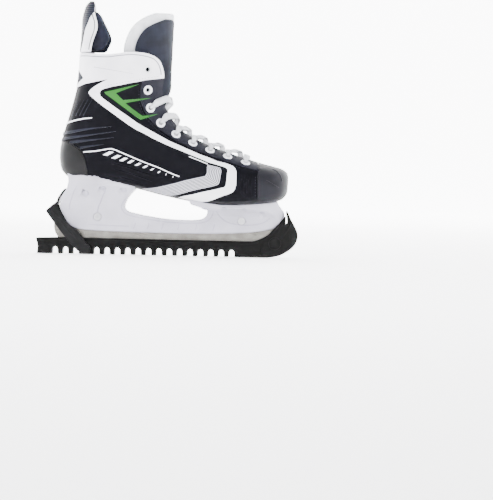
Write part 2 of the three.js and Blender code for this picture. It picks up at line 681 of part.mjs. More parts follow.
function heightOn(solid, x, y, fromZ, toZ) {
  const needle = box(x - 0.05, x + 0.05, y - 0.05, y + 0.05, fromZ, toZ);
  const hit = solid.intersect(needle).boundingBox();
  return { low: hit.min[2], high: hit.max[2] };
}

function rivetSolid(x, y, seat, top) {
  const profile = [[0, seat - 2.6], [headRadius * 0.6, seat - 2.2], [headRadius * 0.92, seat - 1],
    [headRadius, seat], [shankRadius, seat], [shankRadius, top], [0, top]];
  const geometry = new THREE.LatheGeometry(profile.map(([r, h]) => new THREE.Vector2(r, h)), rivetSides);
  geometry.rotateX(Math.PI / 2);
  geometry.translate(x, y, 0);
  return solidFrom(geometry);
}

rivetPlaces.forEach(([x, y, end], index) => {
  [[-1, 'lateral'], [1, 'medial']].forEach(([side, sideName]) => {
    const centreX = along(x);
    const centreY = side * across(y);
    const flange = heightOn(holder, centreX, centreY, 30, up(110));
    const sole = heightOn(outerSkin, centreX, centreY, 30, up(104));
    const seat = flange.low - 0.9;
    const top = sole.low + shellWall + layerGap + 1.2;
    const clear = cylinderZ(centreX, centreY, shankRadius + 0.25, seat - 20, top + 0.4);
    const seatCut = cylinderZ(centreX, centreY, headRadius + 0.6, seat - 30, seat + 0.3);
    holder = holder.subtract(clear).subtract(seatCut);
    Object.keys(soleLayers).forEach((name) => {
      soleLayers[name] = soleLayers[name].subtract(clear);
    });
    const name = `${end}_rivet_${index + 1}_${sideName}`;
    rivets.push({ name, solid: rivetSolid(centreX, centreY, seat, top) });
  });
});

function cylinderZ(x, y, radius, fromZ, toZ) {
  const geometry = new THREE.CylinderGeometry(radius, radius, toZ - fromZ, rivetSides);
  geometry.rotateX(Math.PI / 2);
  geometry.translate(x, y, (fromZ + toZ) / 2);
  return solidFrom(geometry);
}

// Blade guard: flared lips, arched treads, a hood over the runner's tip and a pin boss for the clip
const guardOutline = [[-164.5, guardHeight - 0.5], [-162.8, 14], [-162, 7], [-163, 0], [125, 0], [133, 0.9],
  [140, 2.8], [145, 5], [150, 8], [156, 12.5], [160, 17.5], [162.3, 23], [163, 28], [162, 33], [160, 37.5],
  [157, 43], [153, 50], [150, 57], [148.2, 60], [147, 54], [140, 45], [131, 35], [126, 29], [120, 25],
  [112, 21.5], [106, guardHeight], [0, guardHeight], [-130, guardHeight + 0.6]];
const guardHalf = guardWidth / 2;
const guardSection = mirrorY([[guardHalf - 1.5, 0], [guardHalf - 1, 3], [guardHalf - 2, 9],
  [guardHalf - 1.2, 12], [guardHalf - 0.3, 18], [guardHalf, 23], [guardHalf, 70]]);
const pinX = 80.4 - 14 * archPitch;
const pinZ = 6.6;
const pinRadius = pinDiameter / 2;
const hoodPlan = [[-170, guardHalf], [115, guardHalf], [128, guardHalf + 1], [142, guardHalf + 0.4],
  [152, guardHalf - 2], [159, guardHalf - 5.5], [163.5, 3], [163.5, 0]];
const hoodOutlineTop = hoodPlan.map(([x, y]) => [along(x), y]);
const guardPlan = [...hoodOutlineTop, ...hoodOutlineTop.slice(0, -1).map(([x, y]) => [x, -y]).reverse()];
const slotHalf = guardSlotWidth / 2;
const slotOutline = [[-152, 80], [-152, guardSlotFloor], [118, guardSlotFloor], [130, 13], [140, 18],
  [149, 26], [154.5, 36], [153, 42], [148.8, 52], [146.2, 59], [143, 80]];
const pocketOutline = [[104, 24], [122, 28], [134, 32.5], [144, 38], [150, 45], [148.8, 52], [146.2, 59],
  [143, 80], [96, 80]];
const mouth = mirrorY([[slotHalf, guardHeight - 6], [slotHalf + 0.4, guardHeight - 5],
  [slotHalf + 3.2, guardHeight + 2], [slotHalf + 3.2, 80]]);
const pocketHalf = across(rail + 3.2);
const hoodSection = mirrorY([[guardHalf - 1.5, 0], [guardHalf, 5], [guardHalf + 0.6, 12],
  [guardHalf + 1, 22], [guardHalf + 0.6, 34], [guardHalf - 0.5, 48], [guardHalf - 2, 62]]);
const hoodStart = 118;
let guardBody = sidePrism(guardOutline.map(place), -guardHalf - 4, guardHalf + 4)
  .intersect(crossPrism(guardSection, along(-170), along(hoodStart))
    .add(crossPrism(hoodSection, along(hoodStart), along(170))))
  .intersect(planPrism(guardPlan, -1, 80))
  .subtract(sidePrism(slotOutline.map(place), -slotHalf, slotHalf))
  .subtract(sidePrism(pocketOutline.map(place), -pocketHalf, pocketHalf))
  .subtract(crossPrism(mouth, along(-152), along(112)));
for (let n = 0; n < archCount; n += 1) {
  const centre = along(80.4 - n * archPitch);
  const isPinBoss = Math.abs(centre - along(pinX)) < 1;
  if (!isPinBoss) {
    const arch = [[-archWidth / 2, -2], [archWidth / 2, -2], [archWidth / 2, archHeight - 3],
      [archWidth / 2 - 1, archHeight - 1], [archWidth / 2 - 2.4, archHeight],
      [-archWidth / 2 + 2.4, archHeight], [-archWidth / 2 + 1, archHeight - 1],
      [-archWidth / 2, archHeight - 3]];
    guardBody = guardBody.subtract(sidePrism(arch.map(([x, z]) => [x + centre, z]), -30, 30));
  }
}
guardBody = guardBody.subtract(cylinderY(along(pinX), pinZ, pinRadius + pinGap, -30, 30, 20));

// Heel clip: two cheeks outside the guard, joined above the runner's tail, with a hook at the heel
const clipOutline = [[-95.8, 6.6], [-97, 3.2], [-101, 0.9], [-106, 1.2], [-112, 4.4], [-120, 12.5],
  [-127, 20],
  [-133, 27.5], [-140, 36.5], [-146, 44.5], [-152, 52.5], [-151.5, 54.5], [-145, 60.2], [-139.2, 64.6],
  [-137.8, 70], [-132.5, 78], [-129, 82], [-127.3, 81], [-131.2, 75.6], [-135.3, 70.2], [-136.6, 65.4],
  [-136.6, 59.6], [-135, 54.4], [-131.2, 47], [-127.5, 41], [-121, 36], [-115, 32], [-110, 27], [-105, 20],
  [-99, 12.5]];
const clipHalf = clipWidth / 2;
const webInner = 66.3;
const pinHub = [along(pinX), pinZ];
const clipSide = sidePrism(clipOutline.map(([x, z]) => [along(x), z]), -clipHalf, clipHalf);
const innerHalf = clipHalf - clipCheek;
const forkGap = cylinderY(pinHub[0], pinHub[1], webInner, -innerHalf, innerHalf, 72);
const clipPlan = crossPrism(mirrorY([[clipHalf - 1.2, -1], [clipHalf, 4], [clipHalf, 46], [clipHalf - 2, 58],
  [clipHalf - 5, 72], [clipHalf - 7, 84]]), along(-170), along(-80));
const heelClip = clipSide
  .subtract(forkGap)
  .intersect(clipPlan)
  .subtract(cylinderY(pinHub[0], pinHub[1], pinRadius + pinGap, -30, 30, 20));

const pinHeadRadius = pinHeadDiameter / 2;
const pinReach = clipHalf + 0.3;
const clipPin = cylinderY(pinHub[0], pinHub[1], pinRadius, -pinReach - 0.5, pinReach + 0.5, 20)
  .add(cylinderY(pinHub[0], pinHub[1], pinHeadRadius, -pinReach - 1.6, -pinReach, 20))
  .add(cylinderY(pinHub[0], pinHub[1], pinHeadRadius, pinReach, pinReach + 1.6, 20));

// Materials, one kept for each sub-part
const paint = {
  toeCap: [0x2e2e3a, 0.55, 0],
  quarter: [0x14141e, 0.6, 0],
  counter: [0x1b1c20, 0.22, 0],
  facing: [0x3a3a4b, 0.65, 0],
  board: [0x1d1d20, 0.6, 0],
  insole: [0x8c7a5c, 0.8, 0],
  footbed: [0x2b2d33, 0.9, 0],
  liner: [0x3c3f4c, 0.95, 0],
  collar: [0xe6e5ea, 0.6, 0],
  tendonGuard: [0xd8d8de, 0.5, 0],
  tendonPad: [0x23273a, 0.9, 0],
  tongueFace: [0x3a3f4e, 0.75, 0],
  felt: [0xd9dbdf, 1, 0],
  eyelet: [0x8b8b90, 0.35, 1],
  lace: [0xf1f1ee, 0.9, 0],
  holder: [0xd8d6de, 0.4, 0],
  steel: [0x9a9994, 0.25, 1],
  fastener: [0xa6a6ab, 0.35, 1],
  guard: [0x1f1f20, 0.5, 0],
  clip: [0x252526, 0.45, 0],
};

const group = new THREE.Group();

function addMesh(name, geometry, [color, roughness, metalness]) {
  const mesh = new THREE.Mesh(geometry, new THREE.MeshStandardMaterial({ color, roughness, metalness }));
  mesh.name = name;
  group.add(mesh);
  return mesh;
}

const addSolid = (name, solid, look) => addMesh(name, geometryFrom(solid), look);

addSolid('toe_cap', shellPiece(128, 100, 1), paint.toeCap);
addSolid('heel_counter', soleLayers.heel_counter, paint.counter);
addSolid('outsole', soleLayers.outsole, paint.board);
addSolid('insole_board', soleLayers.insole_board, paint.insole);
addSolid('footbed', footbed, paint.footbed);
addSolid('liner', liner, paint.liner);
[[-1, 'lateral'], [1, 'medial']].forEach(([side, name]) => {
  const facing = withEyeletBores(shellPiece(10, 147, side), side, facingEyelets);
  const collar = withEyeletBores(collarPiece(side), side, [topEyelet]);
  addSolid(`${name}_quarter`, soleLayers[`${name}_quarter`], paint.quarter);
  addSolid(`${name}_facing`, facing, paint.facing);
  addSolid(`${name}_collar`, collar, paint.collar);
  eyeletPlaces.forEach((_, index) => {
    const wall = index === topEyelet ? collarWall : shellWall;
    const eyelet = addMesh(`${name}_eyelet_${index + 1}`, eyeletGeometry(wall), paint.eyelet);
    const { position, turn } = eyeletPose(index, side);
    eyelet.position.copy(position);
    eyelet.quaternion.copy(turn);
  });
});
addSolid('tongue_face_lower', lowerTongueFace, paint.tongueFace);
addSolid('tongue_felt_lower', lowerTongueFelt, paint.felt);
addSolid('tongue_face_upper', upperTongueFace, paint.tongueFace);
addSolid('tongue_felt_upper', upperTongueFelt, paint.felt);
addSolid('tendon_guard', tendonGuard, paint.tendonGuard);
addSolid('tendon_pad', tendonPad, paint.tendonPad);
addSolid('lace', laceSolid(), paint.lace);
addSolid('holder', holder, paint.holder);
addSolid('runner', runner, paint.steel);
bolts.forEach(({ end, bolt, nut }) => {
  addSolid(`${end}_runner_bolt`, bolt, paint.fastener);
  addSolid(`${end}_runner_nut`, nut, paint.fastener);
});
rivets.forEach(({ name, solid }) => addSolid(name, solid, paint.fastener));
addSolid('guard_body', guardBody, paint.guard);
addSolid('heel_clip', heelClip, paint.clip);
addSolid('clip_pin', clipPin, paint.fastener);

export default group;
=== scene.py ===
import math
import bpy
import bmesh
from mathutils import Matrix, Vector
from mathutils.bvhtree import BVHTree


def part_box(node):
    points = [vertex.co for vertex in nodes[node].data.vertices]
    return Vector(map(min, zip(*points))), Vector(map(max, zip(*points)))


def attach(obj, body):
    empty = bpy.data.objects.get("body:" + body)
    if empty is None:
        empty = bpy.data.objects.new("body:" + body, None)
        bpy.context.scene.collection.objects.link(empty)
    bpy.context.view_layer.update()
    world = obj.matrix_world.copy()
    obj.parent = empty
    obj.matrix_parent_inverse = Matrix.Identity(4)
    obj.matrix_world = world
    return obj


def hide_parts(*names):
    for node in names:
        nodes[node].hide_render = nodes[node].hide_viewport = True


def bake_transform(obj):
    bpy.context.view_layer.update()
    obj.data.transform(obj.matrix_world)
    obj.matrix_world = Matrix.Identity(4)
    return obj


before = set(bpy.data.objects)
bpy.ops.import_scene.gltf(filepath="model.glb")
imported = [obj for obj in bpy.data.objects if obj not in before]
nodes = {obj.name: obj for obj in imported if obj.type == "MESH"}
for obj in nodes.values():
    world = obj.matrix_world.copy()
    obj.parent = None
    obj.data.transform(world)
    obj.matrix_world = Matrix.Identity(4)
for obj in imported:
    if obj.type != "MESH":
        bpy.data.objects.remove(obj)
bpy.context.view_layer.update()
mm = 0.001
print("frame loaded")


# camera: the skate seen square on from its outer side
camera = {"distance": 2.61, "lens": 150, "aimRight": 99, "aimDown": 149, "elevation": 1.6, "roll": 1.2,
          "midHeight": 158}


def makeCamera():
    data = bpy.data.cameras.new("Camera")
    data.lens = camera["lens"]
    data.sensor_width = 36
    rig = bpy.data.objects.new("Camera", data)
    bpy.context.scene.collection.objects.link(rig)
    tilt = math.radians(camera["elevation"])
    aim = Vector((camera["aimRight"], 0, camera["midHeight"] - camera["aimDown"])) * mm
    spot = aim + camera["distance"] * Vector((0, -math.cos(tilt), math.sin(tilt)))
    look = (aim - spot).to_track_quat("-Z", "Y").to_matrix()
    turn = look @ Matrix.Rotation(math.radians(camera["roll"]), 3, "Z")
    rig.matrix_world = Matrix.Translation(spot) @ turn.to_4x4()
    bpy.context.scene.camera = rig


makeCamera()


# materials: colours are sRGB hex, pattern sizes are in millimetres

def colour(hexText):
    parts = [int(hexText[i:i + 2], 16) / 255 for i in (1, 3, 5)]
    linear = [c / 12.92 if c <= 0.04045 else ((c + 0.055) / 1.055) ** 2.4 for c in parts]
    return (*linear, 1)


def addNode(tree, kind, settings=None, links=None):
    node = tree.nodes.new(kind)
    for name, value in (settings or {}).items():
        if hasattr(node, name):
            setattr(node, name, value)
        else:
            node.inputs[name].default_value = value
    for name, source in (links or {}).items():
        tree.links.new(source, node.inputs[name])
    return node


def perMm(size):
    return 1 / (size * mm)  # the texture scale that gives one feature each so many millimetres


def newMaterial(name, settings):
    material = bpy.data.materials.new(name)
    material.use_nodes = True
    tree = material.node_tree
    tree.nodes.clear()
    shader = addNode(tree, "ShaderNodeBsdfPrincipled", settings)
    addNode(tree, "ShaderNodeOutputMaterial", None, {"Surface": shader.outputs[0]})
    place = addNode(tree, "ShaderNodeTexCoord").outputs["Object"]
    return material, tree, shader, place


def noise(tree, place, size, detail=3):
    return addNode(tree, "ShaderNodeTexNoise", {"Scale": perMm(size), "Detail": detail},
                   {"Vector": place}).outputs["Fac"]


def ramp(tree, factor, stops):
    node = addNode(tree, "ShaderNodeValToRGB", None, {"Fac": factor})
    elements = node.color_ramp.elements
    elements[1].position, elements[0].position = stops[-1][0], stops[0][0]
    for position, _ in stops[1:-1]:
        elements.new(position)
    for element, (_, value) in zip(elements, stops):
        element.color = colour(value) if isinstance(value, str) else (value, value, value, 1)
    return node.outputs["Color"]


def bump(tree, height, strength, depth, below=None):
    links = {"Height": height}
    if below:
        links["Normal"] = below
    return addNode(tree, "ShaderNodeBump", {"Strength": strength, "Distance": depth * mm}, links).outputs[0]


# a math node whose inputs are numbers or other nodes' outputs
def calculate(tree, operation, *values):
    node = addNode(tree, "ShaderNodeMath", {"operation": operation})
    for socket, value in zip(node.inputs, values):
        if isinstance(value, (int, float)):
            socket.default_value = value
        else:
            tree.links.new(value, socket)
    return node.outputs[0]


def finish(tree, shader, base=None, rough=None, normal=None):
    for socket, source in (("Base Color", base), ("Roughness", rough), ("Normal", normal)):
        if source:
            tree.links.new(source, shader.inputs[socket])


# a moulded or coated skin: a cloudy two-tone colour, a fine grain and uneven gloss
def mouldedSkin(name, dark, light, roughness, grain, depth, cloud=35, gloss=0.3, settings=None):
    material, tree, shader, place = newMaterial(name, {"Specular IOR Level": gloss, **(settings or {})})
    clouds = noise(tree, place, cloud)
    fine = noise(tree, place, grain, 2)
    finish(tree, shader, ramp(tree, clouds, [(0.35, dark), (0.65, light)]),
           ramp(tree, clouds, [(0.3, roughness - 0.06), (0.7, roughness + 0.07)]),
           bump(tree, fine, 0.5, depth, bump(tree, clouds, 0.15, 0.4)))
    return material


# cloth: crossed threads, so many millimetres apart, over a soft cloudy colour
def wovenCloth(name, dark, light, thread, depth, sheen=0.12):
    material, tree, shader, place = newMaterial(name, {"Roughness": 0.9, "Sheen Weight": sheen,
                                                       "Sheen Roughness": 0.5,
                                                       "Specular IOR Level": 0.2})
    waves = []
    for axis in ("X", "Z"):
        settings = {"bands_direction": axis, "Scale": perMm(thread) / 6.28, "Distortion": 0.6,
                    "Detail": 1}
        waves.append(addNode(tree, "ShaderNodeTexWave", settings, {"Vector": place}).outputs["Fac"])
    weave = calculate(tree, "MULTIPLY", *waves)
    clouds = noise(tree, place, 18, 4)
    mixed = calculate(tree, "MULTIPLY_ADD", weave, 0.35, clouds)
    finish(tree, shader, ramp(tree, mixed, [(0.35, dark), (0.8, light)]), None,
           bump(tree, weave, 0.6, depth, bump(tree, clouds, 0.25, 0.8)))
    return material


# pressed felt: short fibres in every direction, matt, with soft lumps
def pressedFelt(name, dark, light):
    material, tree, shader, place = newMaterial(name, {"Roughness": 0.97, "Sheen Weight": 0.45,
                                                       "Sheen Roughness": 0.6})
    fibres = noise(tree, place, 0.7, 5)
    lumps = noise(tree, place, 9, 3)
    finish(tree, shader, ramp(tree, lumps, [(0.35, dark), (0.65, light)]), None,
           bump(tree, fibres, 0.7, 0.35, bump(tree, lumps, 0.4, 1.2)))
    return material


# ground steel: fine lines along the blade under a clear, slightly uneven shine
def groundSteel(name, dark, light, roughness, line):
    material, tree, shader, place = newMaterial(name, {"Metallic": 1, "Roughness": roughness})
    stretch = addNode(tree, "ShaderNodeMapping", {"Scale": (0.02, 1, 1)}, {"Vector": place}).outputs[0]
    lines = noise(tree, stretch, line, 2)
    clouds = noise(tree, place, 14)
    finish(tree, shader, ramp(tree, clouds, [(0.3, dark), (0.7, light)]),
           ramp(tree, lines, [(0.3, roughness - 0.07), (0.7, roughness + 0.1)]),
           bump(tree, lines, 0.25, 0.05))
    return material


looks = {
    "quarter": mouldedSkin("coatedSyntheticQuarter", "#030307", "#06060b", 0.5, 0.7, 0.08, gloss=0.05),
    "toe": mouldedSkin("mouldedPolyurethaneToe", "#0a0a10", "#101017", 0.5, 1.1, 0.05, gloss=0.14),
    "counter": mouldedSkin("polishedThermoplasticHeel", "#060607", "#0a0a0c", 0.36, 3, 0.02, gloss=0.12,
                           settings={"Coat Weight": 0.04, "Coat Roughness": 0.2}),
    "rib": mouldedSkin("rubberRib", "#0f111a", "#181a26", 0.45, 0.8, 0.05, gloss=0.15),
    "facing": mouldedSkin("nylonFacing", "#0f0f17", "#16161f", 0.6, 0.6, 0.08, gloss=0.12),
    "lining": wovenCloth("brushedNylonLining", "#0e1017", "#1b1e29", 0.9, 0.12),
    "navy": wovenCloth("navyFoamPadCloth", "#0a0c18", "#151829", 0.9, 0.12),
    "face": wovenCloth("ballisticNylonTongue", "#0c0e16", "#181b27", 0.8, 0.16, 0.08),
    "felt": pressedFelt("whiteWoolFelt", "#c4c6cb", "#dcdde1"),
    "collar": mouldedSkin("whiteCoatedLeather", "#dad9e0", "#eae9ee", 0.5, 0.9, 0.1),
    "overlay": mouldedSkin("whiteGlossVinyl", "#e0e0e6", "#ededf1", 0.38, 1.2, 0.03),
    # grey: the collar piping's and collar stitches' own colour; on the collar fold it is painted crease
    # shade
    "grey": mouldedSkin("greyVinylAndPaintedCreaseShade", "#5d5f6b", "#6d6f7b", 0.5, 1, 0.05),
    "darkGrey": mouldedSkin("darkGreyVinyl", "#11121a", "#191a24", 0.55, 1, 0.05, gloss=0.1),
    "green": mouldedSkin("greenVinyl", "#084a00", "#105a02", 0.42, 1, 0.04),
    "outsole": mouldedSkin("pressedFibreOutsole", "#060608", "#0c0c0f", 0.5, 0.9, 0.06, gloss=0.15),
    "insole": mouldedSkin("pressedBoard", "#8c7a5c", "#9d8b6c", 0.8, 0.8, 0.1),
    "holder": mouldedSkin("whiteNylonHolder", "#9f9da9", "#aeacb8", 0.36, 1.6, 0.02, gloss=0.4),
    "steel": groundSteel("groundStainlessRunner", "#5e5c57", "#75736e", 0.3, 0.5),
    "zinc": groundSteel("zincPlatedSteel", "#9a9a9e", "#b2b2b6", 0.34, 0.9),
    "guard": mouldedSkin("mouldedPolyetheneGuard", "#030303", "#060606", 0.45, 0.9, 0.04, gloss=0.08),
    "clip": mouldedSkin("mouldedNylonClip", "#050506", "#08080a", 0.4, 0.9, 0.04, gloss=0.12),
    "eyelet": mouldedSkin("whiteEnamelledEyelet", "#d2d2d8", "#e0e0e4", 0.3, 2, 0.01, gloss=0.5),
    # shade: the holder's grey made a little darker; on the holder's embossed lines it is painted shade, and
    # the rivet heads take the same grey
    "shade": mouldedSkin("nylonGreyPaintedShade", "#8f8d9c", "#a19fad", 0.4, 1.6, 0.02, gloss=0.4),
}
print("materials made")


# turns a bmesh into a smooth piece with its look and the body that it rides on
def newPiece(name, bm, look, body):
    mesh = bpy.data.meshes.new(name)
    bm.to_mesh(mesh)
    bm.free()
    piece = bpy.data.objects.new(name, mesh)
    bpy.context.scene.collection.objects.link(piece)
    mesh.materials.append(looks[look])
    for polygon in mesh.polygons:
        polygon.use_smooth = True
    if body:
        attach(piece, body)
    return piece


def addBevel(piece, width):
    edge = piece.modifiers.new("bevel", "BEVEL")
    edge.width = width * mm
    edge.segments = 2
    edge.limit_method = "ANGLE"
    edge.angle_limit = math.radians(35)
    edge.harden_normals = False


# the edges of an open or closed mesh that turn by more than so many degrees
def turningEdges(bm, degrees):
    return [e for e in bm.edges if len(e.link_faces) == 2 and e.calc_face_angle(0) > math.radians(degrees)]


def sharpEdges(piece):
    bm = bmesh.new()
    bm.from_mesh(piece.data)
    for edge in turningEdges(bm, 40):
        edge.smooth = False
    bm.to_mesh(piece.data)
    bm.free()


def treeOf(piece):
    bm = bmesh.new()
    bm.from_mesh(piece.data)
    tree = BVHTree.FromBMesh(bm)
    bm.free()
    return tree


# joins rows of points into one sheet
def addSheet(bm, rows):
    grid = [[bm.verts.new(point) for point in row] for row in rows]
    for a, b in zip(grid, grid[1:]):
        for k in range(len(a) - 1):
            bm.faces.new((a[k], b[k], b[k + 1], a[k + 1]))


# makes an open sheet's faces look along a direction
def faceAlong(bm, direction):
    bmesh.ops.recalc_face_normals(bm, faces=bm.faces)
    if sum(face.normal.dot(direction) for face in bm.faces) < 0:
        bmesh.ops.reverse_faces(bm, faces=bm.faces)


def paint(name, look):
    node = nodes[name]
    node.data.materials.clear()
    node.data.materials.append(looks[look])


# the boot's skin: the same ovals as the frame's, [bottom x, z, top x, z, half width, level, floor power]
sections = [
    [148.4, 86, 149.0, 98, 9, 0.5, 2.4], [147.4, 80.5, 148.4, 104, 19, 0.5, 2.4],
    [145, 76, 145.5, 108, 27.5, 0.46, 2.7], [140, 72, 140.5, 111, 35, 0.42, 3],
    [132, 70, 133, 113.2, 41, 0.4, 3.2], [122, 68.2, 124, 115.4, 45, 0.38, 3.4],
    [110, 66.6, 113, 118.2, 47.5, 0.36, 3.6], [97, 65.3, 102, 121.5, 49, 0.35, 3.6],
    [82, 64, 90, 125.6, 49, 0.35, 3.6], [66, 63.8, 76, 130.5, 47.5, 0.36, 3.6],
    [48, 65.2, 60, 136, 45, 0.38, 3.6], [30, 68, 45, 142, 43, 0.4, 3.6],
    [10, 71.6, 31, 149, 41, 0.42, 3.6], [-12, 76.2, 18, 156.5, 39.5, 0.44, 3.6],
    [-36, 82, 8.5, 165.5, 38, 0.45, 3.6], [-62, 87.4, 2, 175.5, 37.5, 0.45, 3.6],
    [-88, 90.7, -2, 186, 37, 0.45, 3.6], [-110, 93.2, -4, 196, 37, 0.45, 3.2],
    [-124, 95.6, -4, 204, 37, 0.45, 2.7], [-132.5, 103, -3.5, 211, 37, 0.46, 2.5],
    [-136, 116, -3, 217, 37, 0.47, 2.4], [-135.8, 131, -2, 223, 37.5, 0.48, 2.4],
    [-132.3, 150, -1, 229, 38.5, 0.5, 2.4], [-126.5, 170, 0, 235, 39.5, 0.5, 2.4],
    [-120.5, 192, 0.5, 241, 40.5, 0.5, 2.4], [-115.2, 217, 1, 248, 41.5, 0.5, 2.4],
    [-113.8, 246, 1.5, 256, 42, 0.5, 2.4], [-113, 266, 2, 270, 42, 0.5, 2.4],
]
crownPower = 2.3
skinRows = 200
skinRound = 120
crownShift = 0.18


# a smooth curve between the middle two of four numbers or points
def curveAt(a, b, c, d, t):
    square, cube = 2 * a - 5 * b + 4 * c - d, 3 * b - a - 3 * c + d
    return 0.5 * (2 * b + (c - a) * t + square * t * t + cube * t ** 3)


# the boot's oval at a share of the way from toe to cuff
def sectionAt(u):
    place = u * (len(sections) - 1)
    index = min(int(place), len(sections) - 2)
    t = place - index
    b, c = sections[index], sections[index + 1]
    a = sections[index - 1] if index else [2 * p - q for p, q in zip(b, c)]
    d = sections[index + 2] if index + 2 < len(sections) else [2 * q - p for p, q in zip(b, c)]
    return [curveAt(p, q, r, s, t) for p, q, r, s in zip(a, b, c, d)]


def signedPower(value, power):
    return math.copysign(abs(value) ** power, value)


def skinPoint(u, angle):
    bottomX, bottomZ, topX, topZ, half, level, floorPower = sectionAt(u)
    power = floorPower if math.cos(angle) < 0 else crownPower
    rise = signedPower(math.cos(angle), 2 / power)
    share = level * (1 + rise) if rise < 0 else level + (1 - level) * rise
    return Vector((bottomX + (topX - bottomX) * share, half * signedPower(math.sin(angle), 2 / power),
                   bottomZ + (topZ - bottomZ) * share)) * mm


def makeSkin():
    bm = bmesh.new()
    bmesh.ops.create_grid(bm, x_segments=skinRows, y_segments=skinRound, size=1)
    for vertex in bm.verts:
        u = (vertex.co.x + 1) / 2
        turn = (vertex.co.y + 1) * math.pi
        vertex.co = skinPoint(u, turn - crownShift * math.sin(2 * turn))
    bmesh.ops.remove_doubles(bm, verts=bm.verts, dist=0.02 * mm)
    bmesh.ops.holes_fill(bm, edges=[e for e in bm.edges if e.is_boundary], sides=0)
    bmesh.ops.recalc_face_normals(bm, faces=bm.faces)
    return bm


skin = makeSkin()
skinTree = BVHTree.FromBMesh(skin)
farOut = 200
print("boot skin lofted", len(skin.faces), "faces")


# where a surface is met from one side at a side-view point, with its normal
def hitFrom(tree, x, z, side):
    return tree.ray_cast(Vector((x, side * farOut, z)) * mm, Vector((0, -side, 0)))[:2]


def onSkin(x, z, side=-1, lift=0.0):
    spot, normal = hitFrom(skinTree, x, z, side)
    return None if spot is None else spot + normal * lift * mm


def inside(x, z, outline):
    hit = False
    for (ax, az), (bx, bz) in zip(outline, outline[1:] + outline[:1]):
        if (az > z) != (bz > z) and x < (bx - ax) * (z - az) / (bz - az) + ax:
            hit = not hit
    return hit


def centreOf(face):
    centre = face.calc_center_median()
    return centre.x / mm, centre.z / mm


# cuts the mesh along a closed side-view outline, only near that outline
def cutAlong(bm, outline):
    band = 5 * mm
    beyond = 3.5 * mm
    for (ax, az), (bx, bz) in zip(outline, outline[1:] + outline[:1]):
        start = Vector((ax, 0, az)) * mm
        along = Vector((bx - ax, 0, bz - az)) * mm
        length = along.length
        if length < 0.05 * mm:
            continue
        along /= length
        across = Vector((-along.z, 0, along.x))
        near = []
        for face in bm.faces:
            reach = face.calc_center_median() - start
            if abs(reach.dot(across)) < band and -beyond < reach.dot(along) < length + beyond:
                near.append(face)
        parts = set(near)
        for face in near:
            parts.update(face.edges)
            parts.update(face.verts)
        bmesh.ops.bisect_plane(bm, geom=list(parts), dist=0.002 * mm, plane_co=start, plane_no=across)


def dropFaces(bm, faces):
    bmesh.ops.delete(bm, geom=list(faces), context="FACES")


# drops what lies well away from an outline, which makes its cuts quick
def cropTo(bm, outline, margin):
    xs, zs = [p[0] for p in outline], [p[1] for p in outline]
    low = (min(xs) - margin, min(zs) - margin)
    high = (max(xs) + margin, max(zs) + margin)
    dropFaces(bm, [f for f in bm.faces if not (low[0] < centreOf(f)[0] < high[0]
                                               and low[1] < centreOf(f)[1] < high[1])])


# lifts an open sheet off the skin and gives it a wall, outward face at the given height
def giveWall(bm, top, wall):
    bmesh.ops.recalc_face_normals(bm, faces=bm.faces)
    some = bm.faces[:][:40]
    inward = [f for f in some if skinTree.find_nearest(f.calc_center_median())[1].dot(f.normal) < 0]
    if len(inward) > len(some) / 2:
        bmesh.ops.reverse_faces(bm, faces=bm.faces)
    bm.normal_update()
    moves = [(v, v.normal.copy()) for v in bm.verts]
    for vertex, normal in moves:
        vertex.co += normal * (top - wall) * mm
    bmesh.ops.solidify(bm, geom=list(bm.faces), thickness=-wall * mm)
    bmesh.ops.recalc_face_normals(bm, faces=bm.faces)


# the part of the skin inside a side-view outline, on both sides of the boot
def skinPiece(name, outline, top, wall, look, holes=(), bevel=0.0, where=None):
    bm = skin.copy()
    cropTo(bm, outline, 6)
    cutAlong(bm, outline)
    dropFaces(bm, [f for f in bm.faces if not inside(*centreOf(f), outline)])
    for hole in holes:
        cutAlong(bm, hole)
        dropFaces(bm, [f for f in bm.faces if inside(*centreOf(f), hole)])
    if where:
        dropFaces(bm, [f for f in bm.faces if not where(f.calc_center_median() / mm)])
    giveWall(bm, top, wall)
    piece = newPiece(name, bm, look, "skate")
    sharpEdges(piece)
    if bevel:
        addBevel(piece, bevel)
    return piece


# for each step of each span between items, the four items round it and the share along it
def spans(items, steps):
    last = len(items) - 1
    for i in range(last):
        four = (items[max(i - 1, 0)], items[i], items[i + 1], items[min(i + 2, last)])
        for k in range(steps):
            yield four, k / steps


# a smooth curve through points, or a smooth sheet through rows of points
def smoothed(rows, steps):
    return [[curveAt(*column, t) for column in zip(*four)] for four, t in spans(rows, steps)] + [rows[-1]]


# a band of so many millimetres either side of a line
def bandOutline(line, width, taper=None):
    left, right = [], []
    for i, (x, z) in enumerate(line):
        ax, az = line[max(i - 1, 0)]
        bx, bz = line[min(i + 1, len(line) - 1)]
        length = math.hypot(bx - ax, bz - az)
        share = i / (len(line) - 1)
        half = (width + ((taper - width) * share if taper is not None else 0)) / 2
        left.append((x - (bz - az) / length * half, z + (bx - ax) / length * half))
        right.append((x + (bz - az) / length * half, z - (bx - ax) / length * half))
    return left + right[::-1]


